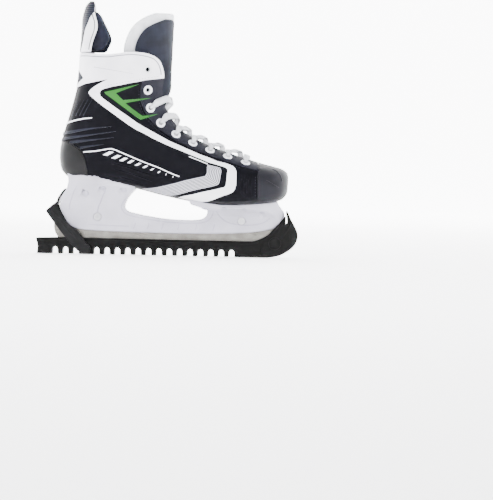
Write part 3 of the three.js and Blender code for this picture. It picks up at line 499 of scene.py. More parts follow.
# side-view lines shared by the boot's pieces
lines = {
    "sole": [(-150, 101), (-136, 99), (-122, 95), (-100, 92), (-60, 87), (-30, 80.5), (0, 73.5), (20, 70),
             (45, 65.5), (65, 63.7), (95, 65), (125, 68.5), (140, 72), (160, 77)],
    "throat": [(111.6, 118.2), (105, 119.6), (100, 121), (90, 124.4), (76, 129), (60, 134.3), (45, 140.2),
               (31, 147), (18, 154.2), (8.5, 162.5), (1, 172), (-5.5, 184), (-9, 194), (-9.8, 206),
               (-8.3, 220)],
    "collarFront": [(-8.3, 220.6), (-8, 224), (-8.6, 229), (-10.2, 235), (-12, 239.6), (-15, 243.4),
                    (-20, 246.8), (-28, 249.5)],
    "collarTop": [(-35, 250.4), (-45, 251), (-55, 250.5), (-65, 248.8), (-78, 247.4), (-93, 248),
                  (-104, 249), (-116, 249.4)],
    "facing": [(-33, 217.4), (-36, 206), (-36, 192), (-31, 179), (-24, 168), (-10, 155), (8, 143.5),
               (28, 133.5), (50, 125.5), (72, 118.5), (92, 112), (111.4, 107.5)],
    "toeSeam": [(112, 60), (110.8, 80), (110.5, 100), (111.6, 118.2)],
    "whiteLow": [(-9, 220.5), (-20, 218.5), (-30, 217), (-40, 214.5), (-50, 212.5), (-60, 210), (-70, 208),
                 (-80, 205.2), (-84, 203.5), (-86, 200)],
}
soleLip = [(x, z + 5.2) for x, z in lines["sole"]]
belowSole = soleLip + [(160, 40), (-150, 40)]
counterSeam = [(-150, 140), (-129, 140), (-120, 136.8), (-109, 130), (-103, 118), (-100, 104), (-99.5, 84)]
wedge = [(-100, 200), (-97, 204), (-92, 208), (-85, 212), (-76, 216.7), (-85, 215), (-95, 213), (-105, 211),
         (-113, 208), (-135, 203)]
eyeletPlaces = [(95.3, 117.6), (73, 124.6), (51, 132), (29.5, 140.4), (8.5, 151), (-10.6, 164.5),
                (-23.5, 183), (-27, 205), (-27.5, 230)]


def circle(x, z, radius, steps=20):
    return [(x + radius * math.cos(i * 2 * math.pi / steps), z + radius * math.sin(i * 2 * math.pi / steps))
            for i in range(steps)]


eyeletHoles = [circle(x, z, 3.2) for x, z in eyeletPlaces]


sideNames = {-1: "lateral", 1: "medial"}


def aboveSole(centre):
    return not inside(centre.x, centre.z, belowSole)


def makeShell():
    skinPiece("outsole_skin", belowSole, 0, 3, "outsole", bevel=0.3)
    seam = [(x, z) for x, z in lines["toeSeam"] if z > 70]
    toeEdge = [(x + 0.2, z) for x, z in seam] + [(113, 130), (170, 130), (170, 60), (112, 60)]
    skinPiece("toe_cap_skin", toeEdge, 0.5, 3.4, "toe", bevel=0.5, where=aboveSole)
    skinPiece("heel_counter_skin", [(x, z - 0.3) for x, z in counterSeam] + [(-150, 84)], 0.5, 3.4,
              "counter", bevel=0.4, where=aboveSole)
    facingSeam = lines["facing"]
    whiteBack = [p for p in lines["whiteLow"] if p[0] <= -40]
    skinPiece("quarter_skin", [(112, 60)] + [(x - 0.2, z) for x, z in seam if z < 107] + facingSeam[::-1]
              + whiteBack + wedge + [(-150, 203)] + [(x, z + 0.3) for x, z in counterSeam], 0, 3,
              "quarter", bevel=0.3, where=aboveSole)
    vampBridge = [(111, 130), (104.5, 130)]
    throat = vampBridge + [p for p in lines["throat"] if p[0] < 104.5]
    skinPiece("facing_skin", [(111, 107.8)] + throat + lines["whiteLow"][:3]
              + [(x + 0.3, z + 0.4) for x, z in facingSeam], 0.4, 3, "facing", bevel=0.4,
              holes=eyeletHoles[:8])
    collar = skinPiece("collar_skin", lines["whiteLow"] + wedge + [(-140, 249.4)] + lines["collarTop"][::-1]
                       + lines["collarFront"][::-1], 0.7, 5.8, "collar", bevel=1.4,
                       holes=eyeletHoles[8:])
    padLine = [(-12, 222), (-12, 233), (-18, 241.5), (-28, 246.6), (-45, 248), (-65, 246), (-78, 244.8),
               (-104, 245.6), (-140, 246), (-140, 206), (-97, 208), (-84, 205), (-50, 213.6)]
    skinPiece("collar_lining", padLine, -5.2, 1.0, "lining", bevel=0.4)
    mouth = [p for p in lines["throat"] if p[0] < 108]
    backSeam = [(-70, 207.5), (-84, 203.6), (-97, 206.6), (-112, 209), (-150, 206)]
    lining = skinPiece("lining_skin", [(110, 117)] + mouth[:-1] + [(-9, 219), (-30, 216.6), (-50, 212)]
                       + backSeam + [(-150, 60), (170, 60), (170, 117)], -3.4, 2.8, "lining",
                       bevel=0.8)
    pairs = {"outsole_skin": ["outsole"], "toe_cap_skin": ["toe_cap"], "heel_counter_skin": ["heel_counter"],
             "quarter_skin": ["lateral_quarter", "medial_quarter"],
             "facing_skin": ["lateral_facing", "medial_facing"],
             "collar_skin": ["lateral_collar", "medial_collar"], "lining_skin": ["liner"]}
    for name, replaced in pairs.items():
        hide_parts(*replaced)


makeShell()
print("shell made")


# flat applied pieces on the quarters, each a thin raised film cut to its outline
stripe = {
    "low": [(-97, 196), (-90, 190), (-80, 182.5), (-70, 175.5), (-60, 168.5), (-50, 161.5), (-40, 155.5),
            (-30, 151), (-20, 145.5), (0, 136.7), (20, 129), (40, 121.2), (50, 117.1), (70, 111.7),
            (73.7, 109), (73, 100), (72, 90), (70.4, 87), (60, 84.3), (50, 82), (40, 79.6), (30, 77),
            (20, 75), (13.3, 73.2)],
    "high": [(20, 71.7), (30, 70), (40, 68.5), (50, 69.3), (57.5, 71.7), (67.7, 76), (75.4, 78.5),
             (80.8, 81.2), (83, 84.6), (84.5, 90), (84.8, 100), (84.6, 106), (83, 110), (80, 113), (75, 115),
             (70, 116.5), (60, 118.8), (50, 122.9), (40, 126.2), (20, 134.4), (0, 142.9), (-30, 158.7),
             (-40, 164.5), (-50, 171.5), (-60, 178), (-70, 185), (-80, 192), (-85, 196), (-86, 200.4),
             (-93, 200.6), (-100, 200)],
}
slots = [(-74, 126, 17, 4.5), (-64, 122, 16, 4), (-55, 119, 13.5, 3.8), (-46, 116.4, 11.5, 3.4),
         (-37, 113.2, 10.5, 3), (-28, 110.4, 9, 2.6), (-19.4, 107.3, 7, 2.4), (-10.8, 104.2, 5, 2),
         (-2, 101.3, 2.6, 1.8), (6.5, 98.4, 2, 1.5)]
roofLine = [(-105, 126.8), (-90, 128.2), (-80, 130), (-70, 131.4), (-60, 127.9), (-50, 123.9), (-40, 119.8),
            (-30, 115.9), (-20, 112.3), (-10, 108.8), (0, 104.3), (10, 100.4), (14.5, 99)]
greenMark = [(-80, 201), (-79, 199), (-60, 185.5), (-40, 171), (-35, 168), (-14, 175.5), (-33, 172.6),
             (-45, 181), (-54, 188), (-22, 195.3), (-57, 191.6), (-66, 200), (-38, 211.4)]
linedPanel = {
    "outer": [(48.5, 114.5), (60, 112), (64, 110.8), (66, 107), (65, 100), (64, 93), (62, 90), (55, 87.5),
              (40, 84), (30, 81.5), (20, 78.5), (10, 75.8), (0, 75), (-15, 78.5), (-32, 83)],
    "inner": [(48, 109), (47.8, 107), (47.6, 105), (47, 103), (46, 101.6), (45, 100.5), (38, 98.9), (30, 97),
              (20, 94.5), (15, 93), (10, 91.5), (0, 89), (-10, 86.5), (-20, 84.5), (-32, 83.3)],
}


def slotOutline(x, z, length, height):
    half, high, flat, drop = length * 0.4, height * 0.52, length * 0.32, length * 0.06
    return [(x - half, z - high), (x - half + flat, z - high - drop), (x + half, z + high - drop),
            (x + half - flat, z + high)]


def makeFilms():
    films = [("stripe_film", stripe["low"] + stripe["high"], 0.45, "overlay"),
             ("roof_film", bandOutline(smoothed(roofLine, 2), 1.4, 1.1), 0.35, "overlay"),
             ("stripe_edge_film", bandOutline([(26, 123.7), (38, 119.3), (49, 115)], 0.9), 0.35, "overlay")]
    films += [(f"slot_film_{n + 1}", slotOutline(*slot), 0.4, "overlay") for n, slot in enumerate(slots)]
    films += [("green_film_1", greenMark, 0.6, "green"),
              ("heel_curve_film", bandOutline([(-133, 160.3), (-129.5, 161.5), (-125, 163.5), (-115, 166),
                                               (-105, 168), (-95, 169)], 2.2, 1.2), 0.5, "overlay"),
              ("back_triangle_film", [(-120, 232), (-114.5, 230), (-107, 218.4), (-119, 208), (-124, 212)],
               1.0, "darkGrey")]
    ribs = [([(-140, 148), (-115, 152.5), (-95, 156), (-70, 159)], 4.2),
            ([(-140, 141), (-120, 144.6), (-100, 147.5), (-65, 153)], 4.2),
            ([(-122, 138.5), (-105, 140.6), (-90, 142.4), (-68, 145.5)], 3.6),
            ([(-109, 132), (-95, 134.4), (-80, 136.6)], 3)]
    films += [(f"heel_rib_{n + 1}", bandOutline(smoothed(line, 3), width, 0.5), 1.0, "rib")
              for n, (line, width) in enumerate(ribs)]
    for name, outline, top, look in films:
        skinPiece(name, outline, top, top + 0.2, look, bevel=0.15 if top < 0.9 else 0.4)


makeFilms()
print("applied films made")


# a ruled patch between two lines on the skin, with its UV running from one line to the other
def patch(name, first, second, lift, look):
    one, two = smoothed(first, 5), smoothed(second, 5)
    count = min(len(one), len(two))
    across = 14
    for side in (-1, 1):
        bm = bmesh.new()
        bm.loops.layers.uv.verify()
        bmesh.ops.create_grid(bm, x_segments=count - 1, y_segments=across, size=1, calc_uvs=True)
        for vertex in bm.verts:
            row = round((vertex.co.x + 1) / 2 * (count - 1))
            t = (vertex.co.y + 1) / 2
            x = one[row][0] * (1 - t) + two[row][0] * t
            z = one[row][1] * (1 - t) + two[row][1] * t
            edge = 0.6 if 0 < t < 1 and 0 < row < count - 1 else 0
            vertex.co = onSkin(x, z, side, lift * edge - 0.05)
        faceAlong(bm, Vector((0, side, 0)))
        newPiece(f"{name}_{sideNames[side]}", bm, look, "skate")


def linedLook(lineCount):
    material, tree, shader, place = newMaterial("linedGreyVinyl", {"Roughness": 0.45})
    uv = addNode(tree, "ShaderNodeTexCoord").outputs["UV"]
    v = addNode(tree, "ShaderNodeSeparateXYZ", None, {"Vector": uv}).outputs["Y"]
    saw = calculate(tree, "FRACT", calculate(tree, "MULTIPLY", v, lineCount))
    base = ramp(tree, saw, [(0.0, "#c8c8d2"), (0.34, "#c8c8d2"), (0.44, "#191a24"), (0.92, "#191a24"),
                            (1.0, "#c8c8d2")])
    finish(tree, shader, base, None, bump(tree, noise(tree, place, 0.9), 0.3, 0.05))
    looks["lined"] = material


linedLook(9)
patch("lined_panel", linedPanel["outer"], linedPanel["inner"], 0.7, "lined")
print("lined panel made")


# a raised or sunk line drawn on any surface in side view, following it by ray
def ridge(name, tree, line, width, height, look, body, steps=4, taper=1.0):
    path = smoothed(line, steps)
    fine = 4
    for side in sideNames:
        rows = []
        for i, (x, z) in enumerate(path):
            ax, az = path[max(i - 1, 0)]
            bx, bz = path[min(i + 1, len(path) - 1)]
            length = math.hypot(bx - ax, bz - az)
            half = width / 2 * (1 + (taper - 1) * i / (len(path) - 1))
            row = []
            for k in range(fine + 1):
                t = 2 * k / fine - 1
                px, pz = x - (bz - az) / length * half * t, z + (bx - ax) / length * half * t
                spot, normal = hitFrom(tree, px, pz, side)
                if spot is None or spot.y * side < 0:
                    row = None
                    break
                end = 0 if i in (0, len(path) - 1) else 1
                row.append(spot + normal * (height * end * (1 - t * t) - 0.04) * mm)
            if row:
                rows.append(row)
        bm = bmesh.new()
        addSheet(bm, rows)
        faceAlong(bm, Vector((0, side, 0)))
        newPiece(f"{name}_{sideNames[side]}", bm, look, body)


# a row of short stitches along a line on the skin
def stitches(name, line, look, lift):
    pitch, length, thread = 3.3, 2.3, 0.56
    path = smoothed(line, 24)
    spots, gone = [path[0]], 0
    for a, b in zip(path, path[1:]):
        gone += math.dist(a, b)
        if gone >= pitch:
            spots.append(b)
            gone = 0
    bm = bmesh.new()
    for side in sideNames:
        for here, after in zip(spots, spots[1:]):
            a, b = onSkin(*here, side, lift), onSkin(*after, side, lift)
            if a is None or b is None:
                continue
            turn = (b - a).to_track_quat("Z", "Y").to_matrix().to_4x4()
            size = Matrix.Diagonal((thread / 2 * mm, thread / 2 * mm, length / 2 * mm, 1))
            bmesh.ops.create_icosphere(bm, subdivisions=1, radius=1,
                                       matrix=Matrix.Translation((a + b) / 2) @ turn @ size)
    newPiece(name, bm, look, "skate")


def shifted(line, dx, dz):
    return [(x + dx, z + dz) for x, z in line]


def makeSeams():
    seam = lines["facing"][1:-1]
    stitches("facing_stitches", shifted(seam, 2.2, 2.4), "darkGrey", 0.75)
    stitches("facing_stitches_outer", shifted(seam, -1.4, -1.6), "rib", 0.25)
    stitches("throat_stitches", shifted(lines["throat"][3:-2], -2, -2.6), "darkGrey", 0.7)
    stitches("toe_stitches", [(108.5, 76), (108, 90), (108.2, 104)], "rib", 0.25)
    stitches("collar_stitches", [(-14, 222.4), (-30, 219.3), (-50, 214.8), (-70, 210.6), (-82, 206.6)],
             "grey", 0.9)
    for n, x in enumerate((92, 95, 98, 101, 104)):
        ridge(f"vamp_rib_{n + 1}", skinTree, [(x, 72), (x - 1.4, 88), (x + 1, 104)], 1.5, 0.55, "quarter",
              "skate")
    piping = [(-11.6, 224), (-12.2, 229), (-13.8, 234.6), (-15.6, 238.2), (-18.4, 241.4), (-22, 243.8),
              (-30, 246), (-45, 247.6), (-60, 246.4), (-76, 244.2), (-92, 244.6), (-104, 245.6), (-112, 246)]
    ridge("collar_piping", skinTree, piping, 1.5, 1.5, "grey", "skate")
    # a low fold across the white collar, coloured dark grey: painted shade in the crease
    ridge("collar_fold_painted_shade", skinTree, [(-96, 232), (-80, 229.5), (-60, 226.5), (-43, 224)], 1.2, 0.95, "grey",
          "skate", taper=0.4)
    creases = {"low": [(120, 97), (125, 94), (131, 91), (138, 86.6)],
               "high": [(128, 110.5), (134, 108), (139, 102), (141, 94)]}
    for word, line in creases.items():
        ridge(f"toe_crease_{word}", skinTree, line, 1.6, 1.1, "toe", "skate")
    for n, shift in enumerate((0, 5, 10, 15)):
        ridge(f"heel_line_{n + 1}", skinTree, shifted([(-121, 171), (-116, 181), (-110, 192)], shift, 0),
              1.3, 0.6, "rib", "skate", taper=0.3)
    for n, line in enumerate(([(-70, 114), (-45, 107), (-20, 99.5)], [(-70, 107), (-42, 99.6), (-15, 91)],
                              [(-60, 97), (-45, 93), (-30, 89.5)])):
        ridge(f"arch_line_{n + 1}", skinTree, line, 2.4, 0.6, "quarter", "skate", taper=0.4)


makeSeams()
print("seams and ribs made")


# a closed profile [radius, height] turned round an axis on the skin
def turned(name, profile, places, look, body, steps=32):
    bm = bmesh.new()
    for spot, normal in places:
        turn = Matrix.Translation(spot) @ normal.to_track_quat("Z", "Y").to_matrix().to_4x4()
        ring = [bm.verts.new(turn @ (Vector((r, 0, h)) * mm)) for r, h in profile]
        edges = [bm.edges.new((a, b)) for a, b in zip(ring, ring[1:] + ring[:1])]
        bmesh.ops.spin(bm, geom=ring + edges, cent=spot, axis=normal, angle=2 * math.pi, steps=steps,
                       use_merge=True, use_duplicate=False)
    bmesh.ops.remove_doubles(bm, verts=bm.verts, dist=0.01 * mm)
    bmesh.ops.recalc_face_normals(bm, faces=bm.faces)
    return newPiece(name, bm, look, body)


def makeEyelets():
    rim = [(2.75, -2.6), (3.0, -2.6), (3.1, 0.2), (3.6, 0.75), (5.2, 0.72), (5.85, 0.35), (5.8, 0.75),
           (5.1, 1.35), (4.1, 1.5), (3.2, 1.3), (2.75, 0.6)]
    for side, word in sideNames.items():
        for n, (x, z) in enumerate(eyeletPlaces):
            spot, normal = hitFrom(skinTree, x, z, side)
            piece = turned(f"{word}_eyelet_{n + 1}_ring", rim, [(spot + normal * 0.1 * mm, normal)],
                           "eyelet", "skate")
            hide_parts(f"{word}_eyelet_{n + 1}")


makeEyelets()
print("eyelets made")


# the lace: the same stops as the frame's, swept as a flat band with a herringbone weave

# the share and angle at which the skin passes a side-view point, by a search that narrows
def placeOf(x, z):
    spot = onSkin(x, z, 1)
    shareStep, angleStep = 1 / 270, math.radians(2)

    def miss(place):
        return (skinPoint(*place) - spot).length

    best = min(((i * shareStep, k * angleStep) for i in range(271) for k in range(1, 60)), key=miss)
    for scale in (0.5, 0.1, 0.02):
        u, angle = best
        best = min(((min(max(u + i * scale * shareStep, 0), 1), angle + k * scale * angleStep)
                    for i in range(-3, 4) for k in range(-3, 4)), key=miss)
    return best


def raisedPoint(u, angle, height):
    spot = skinPoint(u, angle)
    normal = skinTree.find_nearest(spot)[1]
    return spot + normal * height * mm


# the angle so many millimetres nearer the throat
def towardThroat(place, distance):
    u, angle = place
    rate = (skinPoint(u, angle + 1e-3) - skinPoint(u, angle)).length / 1e-3 / mm
    return angle - distance / rate


# the angle at which the upper skin is so far out from the middle
def angleAt(u, out):
    half = sectionAt(u)[4]
    return math.asin(min((abs(out) / half) ** (crownPower / 2), 1))


def laceStops(firstSide, height, spots):
    under, over = -4.9, 2.4
    stops, side = [], firstSide
    for pair in range(7):
        place = spots[pair]
        for distance, lift, narrow in ((12, over + 1, 0), (8, over + 0.7, 0.2), (4.4, over + 0.4, 0.7),
                                       (1.4, over - 0.4, 1), (0.9, -0.8, 1), (0.9, under + 0.9, 1),
                                       (4.5, under - 0.1, 0.7)):
            stops.append((raisedPoint(place[0], side * towardThroat(place, distance), lift), narrow))
        if pair < 6:
            lower, upper = spots[pair], spots[pair + 1]
            crossing = ((0.1, side * 17, under - 0.2, 0.3), (0.22, side * 10, under + 0.7, 0.1),
                        (0.5, 0, height, 0), (0.8, -side * 14, 4.2, 0))
            for share, out, lift, narrow in crossing:
                u = lower[0] + (upper[0] - lower[0]) * share
                stops.append((raisedPoint(u, math.copysign(angleAt(u, out), out), lift), narrow))
            side = -side
    return stops


def smoothStops(stops, steps):
    return [(curveAt(a[0], b[0], c[0], d[0], t), b[1] * (1 - t) + c[1] * t)
            for (a, b, c, d), t in spans(stops, steps)] + [stops[-1]]


def sweepBand(bm, path, width, thick):
    uvLayer = bm.loops.layers.uv.verify()
    shape = [(math.cos(i * math.pi / 8), math.sin(i * math.pi / 8)) for i in range(16)]
    rings, run = [], 0
    for i, (point, narrow) in enumerate(path):
        before, after = path[max(i - 1, 0)][0], path[min(i + 1, len(path) - 1)][0]
        run += (point - before).length
        along = (after - before).normalized()
        normal = skinTree.find_nearest(point)[1]
        side = along.cross(normal).normalized()
        out = side.cross(along)
        half = width / 2 * (1 - 0.5 * narrow)
        deep = thick / 2 * (1 + 0.5 * narrow)
        ring = []
        for c, s in shape:
            offset = side * signedPower(c, 0.6) * half + out * signedPower(s, 0.8) * deep
            ring.append(bm.verts.new(point + offset * mm))
        rings.append((ring, run))
    for (a, runA), (b, runB) in zip(rings, rings[1:]):
        for k in range(16):
            face = bm.faces.new((a[k], b[k], b[(k + 1) % 16], a[(k + 1) % 16]))
            for loop, (v, u) in zip(face.loops, ((k, runA), (k, runB), (k + 1, runB), (k + 1, runA))):
                loop[uvLayer].uv = (u / mm / width, v / 8)
    bm.faces.new(rings[0][0])
    bm.faces.new(rings[-1][0][::-1])


def laceLook():
    material, tree, shader, place = newMaterial("wovenFlatLace", {"Roughness": 0.85, "Sheen Weight": 0.25,
                                                                  "Sheen Roughness": 0.5})
    uv = addNode(tree, "ShaderNodeTexCoord").outputs["UV"]
    split = addNode(tree, "ShaderNodeSeparateXYZ", None, {"Vector": uv})
    middle = calculate(tree, "PINGPONG", split.outputs["Y"], 0.5)
    slant = calculate(tree, "ADD", split.outputs["X"], middle)
    wave = calculate(tree, "SINE", calculate(tree, "MULTIPLY", slant, 44))
    clouds = noise(tree, place, 12)
    finish(tree, shader, ramp(tree, clouds, [(0.3, "#bfc0c6"), (0.7, "#d8d9dd")]), None,
           bump(tree, wave, 0.9, 0.3, bump(tree, noise(tree, place, 0.5), 0.5, 0.15)))
    looks["lace"] = material


def makeLace():
    laceLook()
    spots = [placeOf(x, z) for x, z in eyeletPlaces[:7]]
    bm = bmesh.new()
    first = laceStops(1, 6.0, spots)
    second = laceStops(-1, 4.2, spots)
    tails = [(-39, 178, 21), (-58, 160, 15), (-80, 138, 14), (-92, 118, 15), (-74, 110.5, 17),
             (-40, 105, 17), (0, 95, 17)]
    length = 0
    for stops, last in ((first, 1), (second, -1)):
        ends = [(Vector((x, last * y, z)) * mm, 0.4) for x, z, y in tails]
        path = smoothStops(stops + ends, 7)
        length += sum((b[0] - a[0]).length for a, b in zip(path, path[1:]))
        sweepBand(bm, path, 8.6, 1.5)
    print("lace length", round(length, 3), "m")
    bridge = [(raisedPoint(spots[0][0], angle, 4.4 - abs(angle) * 2), 0.1)
              for angle in (-0.5, -0.25, 0, 0.25, 0.5)]
    sweepBand(bm, smoothStops(bridge, 8), 8.6, 1.5)
    bmesh.ops.recalc_face_normals(bm, faces=bm.faces)
    lace = newPiece("lace_band", bm, "lace", "skate")
    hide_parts("lace")


makeLace()
print("lace made")

# the tongue: cross rows up the instep under the lacing, then level half ovals above the bend
faceRows = [[207, -27, 0.5, 18], [218, -32, 0.8, 18.5], [230, -37, 1, 20], [242, -42, 1.4, 24],
            [252, -44, 1.8, 31], [262, -42.5, 2, 33.5], [272, -38, 2.4, 34], [281, -31, 2.7, 33],
            [287.5, -21, 3, 29], [291.5, -13, 3, 23], [294, -8, 1.6, 17]]
feltRows = [[207, -36, 18], [218, -42, 18.5], [230, -48, 20], [242, -56, 24], [252, -59, 29], [264, -57, 31],
            [273, -54, 31.5], [281, -50, 31.5], [288, -45, 30], [294, -38.5, 27], [299.5, -30, 22.5],
            [303, -22, 17.5]]
lowerTongue = [(0.243, 19), (0.285, 20), (0.34, 20.5), (0.4, 21), (0.46, 22), (0.52, 23), (0.56, 23.5),
               (0.59, 24), (0.615, 23)]
tongueAcross = 28


def lowerRow(u, halfWidth, depth):
    row = []
    bulge = min(max((u - 0.46) / 0.14, 0), 1) * 5.6
    for k in range(tongueAcross + 1):
        y = halfWidth * (2 * k / tongueAcross - 1)
        lift = bulge * math.cos(min(abs(y) / 14, 1) * math.pi / 2) ** 1.4
        row.append(raisedPoint(u, math.copysign(angleAt(u, y), y), lift - depth))
    return row


def upperRow(z, edge, crown, half):
    row = []
    for k in range(tongueAcross + 1):
        t = (2 * k / tongueAcross - 1) * math.pi / 2
        row.append(Vector((edge + (crown - edge) * math.cos(t), half * math.sin(t), z)) * mm)
    return row


# a wall of the given thickness behind rows of points, its rim rounded
def wallFromRows(name, rows, wall, rim, look, body, inner):
    bm = bmesh.new()
    addSheet(bm, rows)
    bmesh.ops.remove_doubles(bm, verts=bm.verts, dist=0.05 * mm)
    bmesh.ops.recalc_face_normals(bm, faces=bm.faces)
    middle = bm.faces[:][len(bm.faces) // 2 + tongueAcross // 2]
    if middle.normal.dot(inner) > 0:
        bmesh.ops.reverse_faces(bm, faces=bm.faces)
    bm.normal_update()
    bmesh.ops.solidify(bm, geom=bm.faces[:], thickness=wall * mm)
    bmesh.ops.recalc_face_normals(bm, faces=bm.faces)
    bmesh.ops.bevel(bm, geom=turningEdges(bm, 50), offset=rim * mm, segments=4, profile=0.5,
                    affect="EDGES", material=-1)
    return newPiece(name, bm, look, body)


# foam swells a little inside its cloth: cloth under slight pressure, then one round of smoothing
swell = {"pressure": 2, "cap": 1.2, "frames": 20}


def puffed(piece, voxel):
    remesh = piece.modifiers.new("remesh", "REMESH")
    remesh.mode = "VOXEL"
    remesh.voxel_size = voxel * mm
    applyModifiers(piece)
    before = [v.co.copy() for v in piece.data.vertices]
    cloth = piece.modifiers.new("cloth", "CLOTH")
    cloth.settings.quality = 4
    cloth.settings.use_pressure = True
    cloth.settings.uniform_pressure_force = swell["pressure"]
    cloth.settings.tension_stiffness = 30
    cloth.settings.bending_stiffness = 2
    cloth.settings.effector_weights.gravity = 0
    cloth.point_cache.frame_start = 1
    cloth.point_cache.frame_end = swell["frames"]
    scene = bpy.context.scene
    for step in range(1, swell["frames"] + 1):
        scene.frame_set(step)
    applyModifiers(piece)
    scene.frame_set(1)
    cap = swell["cap"] * mm
    moves = [vertex.co - was for vertex, was in zip(piece.data.vertices, before)]
    for vertex, was, move in zip(piece.data.vertices, before, moves):
        if move.length > cap:
            vertex.co = was + move.normalized() * cap
    mean = sum(move.length for move in moves) / len(moves)
    print(piece.name, "swelled by", round(mean / mm, 2), "mm on average before the cap")
    level = piece.modifiers.new("subdivision", "SUBSURF")
    level.levels = 1
    level.render_levels = 1
    applyModifiers(piece)
    for polygon in piece.data.polygons:
        polygon.use_smooth = True


def applyModifiers(piece):
    graph = bpy.context.evaluated_depsgraph_get()
    graph.update()
    mesh = bpy.data.meshes.new_from_object(piece.evaluated_get(graph), depsgraph=graph)
    piece.modifiers.clear()
    old = piece.data
    piece.data = mesh
    bpy.data.meshes.remove(old)


def makeTongue():
    back = Vector((-1, 0, 0))
    face = [lowerRow(u, half, 6.9) for u, half in lowerTongue]
    face += [upperRow(*row) for row in faceRows]
    felt = [lowerRow(u, half - 0.5, 9.9) for u, half in lowerTongue]
    crowns = {row[0]: row[2] for row in faceRows}
    for z, edge, half in feltRows:
        near = min(crowns, key=lambda level: abs(level - z))
        behind = 2.6 if z < 294 else -1.2 if z < 300 else -0.4
        felt.append(upperRow(z, edge, crowns[near] - behind, half - 2.6))
    facePiece = wallFromRows("tongue_face_cloth", smoothed(face, 5), 2.2, 0.9, "face", None,
                             back)
    feltPiece = wallFromRows("tongue_felt_pad", smoothed(felt, 5), 6.6, 2.6, "felt", None,
                             back)
    puffed(feltPiece, 2.6)
    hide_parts("tongue_face_lower", "tongue_face_upper")
    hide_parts("tongue_felt_lower", "tongue_felt_upper")
    for piece in (facePiece, feltPiece):
        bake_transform(piece)


makeTongue()
print("tongue made")


# the tendon guard: half ovals round the back of the ankle, white below and a ribbed cap above
guardRows = [[250.4, -98, -113.4, 31], [257, -97.6, -113, 31], [264, -96.2, -112.4, 30],
             [272, -93.6, -112, 29], [280, -91.2, -111.6, 27.5], [288, -91.6, -111.4, 25],
             [296, -94, -110.6, 21], [303, -95.6, -109, 16.5], [309, -95.6, -107, 12],
             [313, -96.5, -104.2, 8], [315.4, -97.6, -102, 4.5]]
padRows = [[252.8, -83], [260, -79.5], [268, -76], [276, -77.5], [284, -81], [292, -85], [299, -88],
           [303.5, -92]]
capEdge = [(-96, 301), (-101, 294), (-103, 288), (-107, 279.5), (-110, 262), (-113.4, 250)]


def rowAt(rows, z, column):
    for low, high in zip(rows, rows[1:]):
        if z <= high[0]:
            share = (z - low[0]) / (high[0] - low[0])
            return low[column] + (high[column] - low[column]) * max(share, 0)
    return rows[-1][column]


def makeTendonGuard():
    front = Vector((1, 0, 0))
    rows = smoothed([upperRow(*row) for row in guardRows], 7)
    shell = wallFromRows("tendon_guard_shell", rows, 3.3, 1.2, "collar", "tendon",
                         front)
    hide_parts("tendon_guard")
    piping = [(-101, 253), (-100, 260), (-98, 268), (-95.4, 276), (-94.6, 282), (-95, 288), (-97, 294),
              (-98.6, 299)]
    ridge("tendon_piping", treeOf(shell), piping, 1.1, 0.5, "darkGrey", "tendon")
    inset = 4.3
    pad = [upperRow(z, edge, rowAt(guardRows, z, 2) + inset, rowAt(guardRows, z, 3) - inset)
           for z, edge in padRows]
    padPiece = wallFromRows("tendon_pad_cushion", smoothed(pad, 4), 6.6, 2.8, "navy", "tendon",
                            front)
    puffed(padPiece, 2.4)
    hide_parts("tendon_pad")


# where the cap's front edge is at a height: all of the row above its top point
def capLimit(z):
    for (ax, az), (bx, bz) in zip(capEdge, capEdge[1:]):
        if bz <= z <= az:
            return bx + (ax - bx) * (z - bz) / (az - bz)
    return 0


# a row of points cut off ahead of a limit in x
def cutRow(row, limit):
    kept = [p for p in row if p.x / mm <= limit]
    if 3 < len(kept) < len(row):
        first, last = row.index(kept[0]), row.index(kept[-1])
        for at, beyond in ((0, first - 1), (-1, last + 1)):
            if 0 <= beyond < len(row):
                share = (limit * mm - kept[at].x) / (row[beyond].x - kept[at].x)
                kept.insert(0 if at == 0 else len(kept), kept[at].lerp(row[beyond], share))
    return kept


# the same number of points along a row, however many it has
def respaced(row, steps):
    spread = []
    for k in range(steps + 1):
        place = k / steps * (len(row) - 1)
        a = int(place)
        spread.append(row[a].lerp(row[min(a + 1, len(row) - 1)], place - a))
    return spread


def makeTendonCap():
    across, ribPitch, ribFoot = 24, 2.6, 279
    rows = []
    for row in smoothed([upperRow(*row) for row in guardRows], 24)[::2]:
        z = row[0].z / mm
        kept = cutRow(row, capLimit(z))
        if len(kept) <= 3:
            continue
        centre = Vector((-95, 0, z)) * mm
        rib = 0.95 + 0.35 * math.sin(z * 2 * math.pi / ribPitch) * (1 if z > ribFoot else 0.25)
        rims = [0] + [rib] * (across - 1) + [0]
        rows.append([point + (point - centre).normalized() * (rim - 0.05) * mm
                     for point, rim in zip(respaced(kept, across), rims)])
    bm = bmesh.new()
    addSheet(bm, rows)
    faceAlong(bm, Vector((-1, 0, 0)))
    newPiece("tendon_cap_ribbed", bm, "rib", "tendon")


makeTendonGuard()
makeTendonCap()
print("tendon guard made")


# moulded parts: a copy of the frame's solid with every edge softened, standing in for it
def softened(name, node, look, body, voxel, rounds):
    mesh = nodes[node].data.copy()
    piece = bpy.data.objects.new(name, mesh)
    bpy.context.scene.collection.objects.link(piece)
    bm = bmesh.new()
    bm.from_mesh(mesh)
    bmesh.ops.remove_doubles(bm, verts=bm.verts, dist=0.01 * mm)
    bm.to_mesh(mesh)
    bm.free()
    remesh = piece.modifiers.new("remesh", "REMESH")
    remesh.mode = "VOXEL"
    remesh.voxel_size = voxel * mm
    relax = piece.modifiers.new("smooth", "SMOOTH")
    relax.factor = 0.5
    relax.iterations = rounds
    applyModifiers(piece)
    piece.data.materials.clear()
    piece.data.materials.append(looks[look])
    for polygon in piece.data.polygons:
        polygon.use_smooth = True
    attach(piece, body)
    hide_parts(node)
    return treeOf(piece)


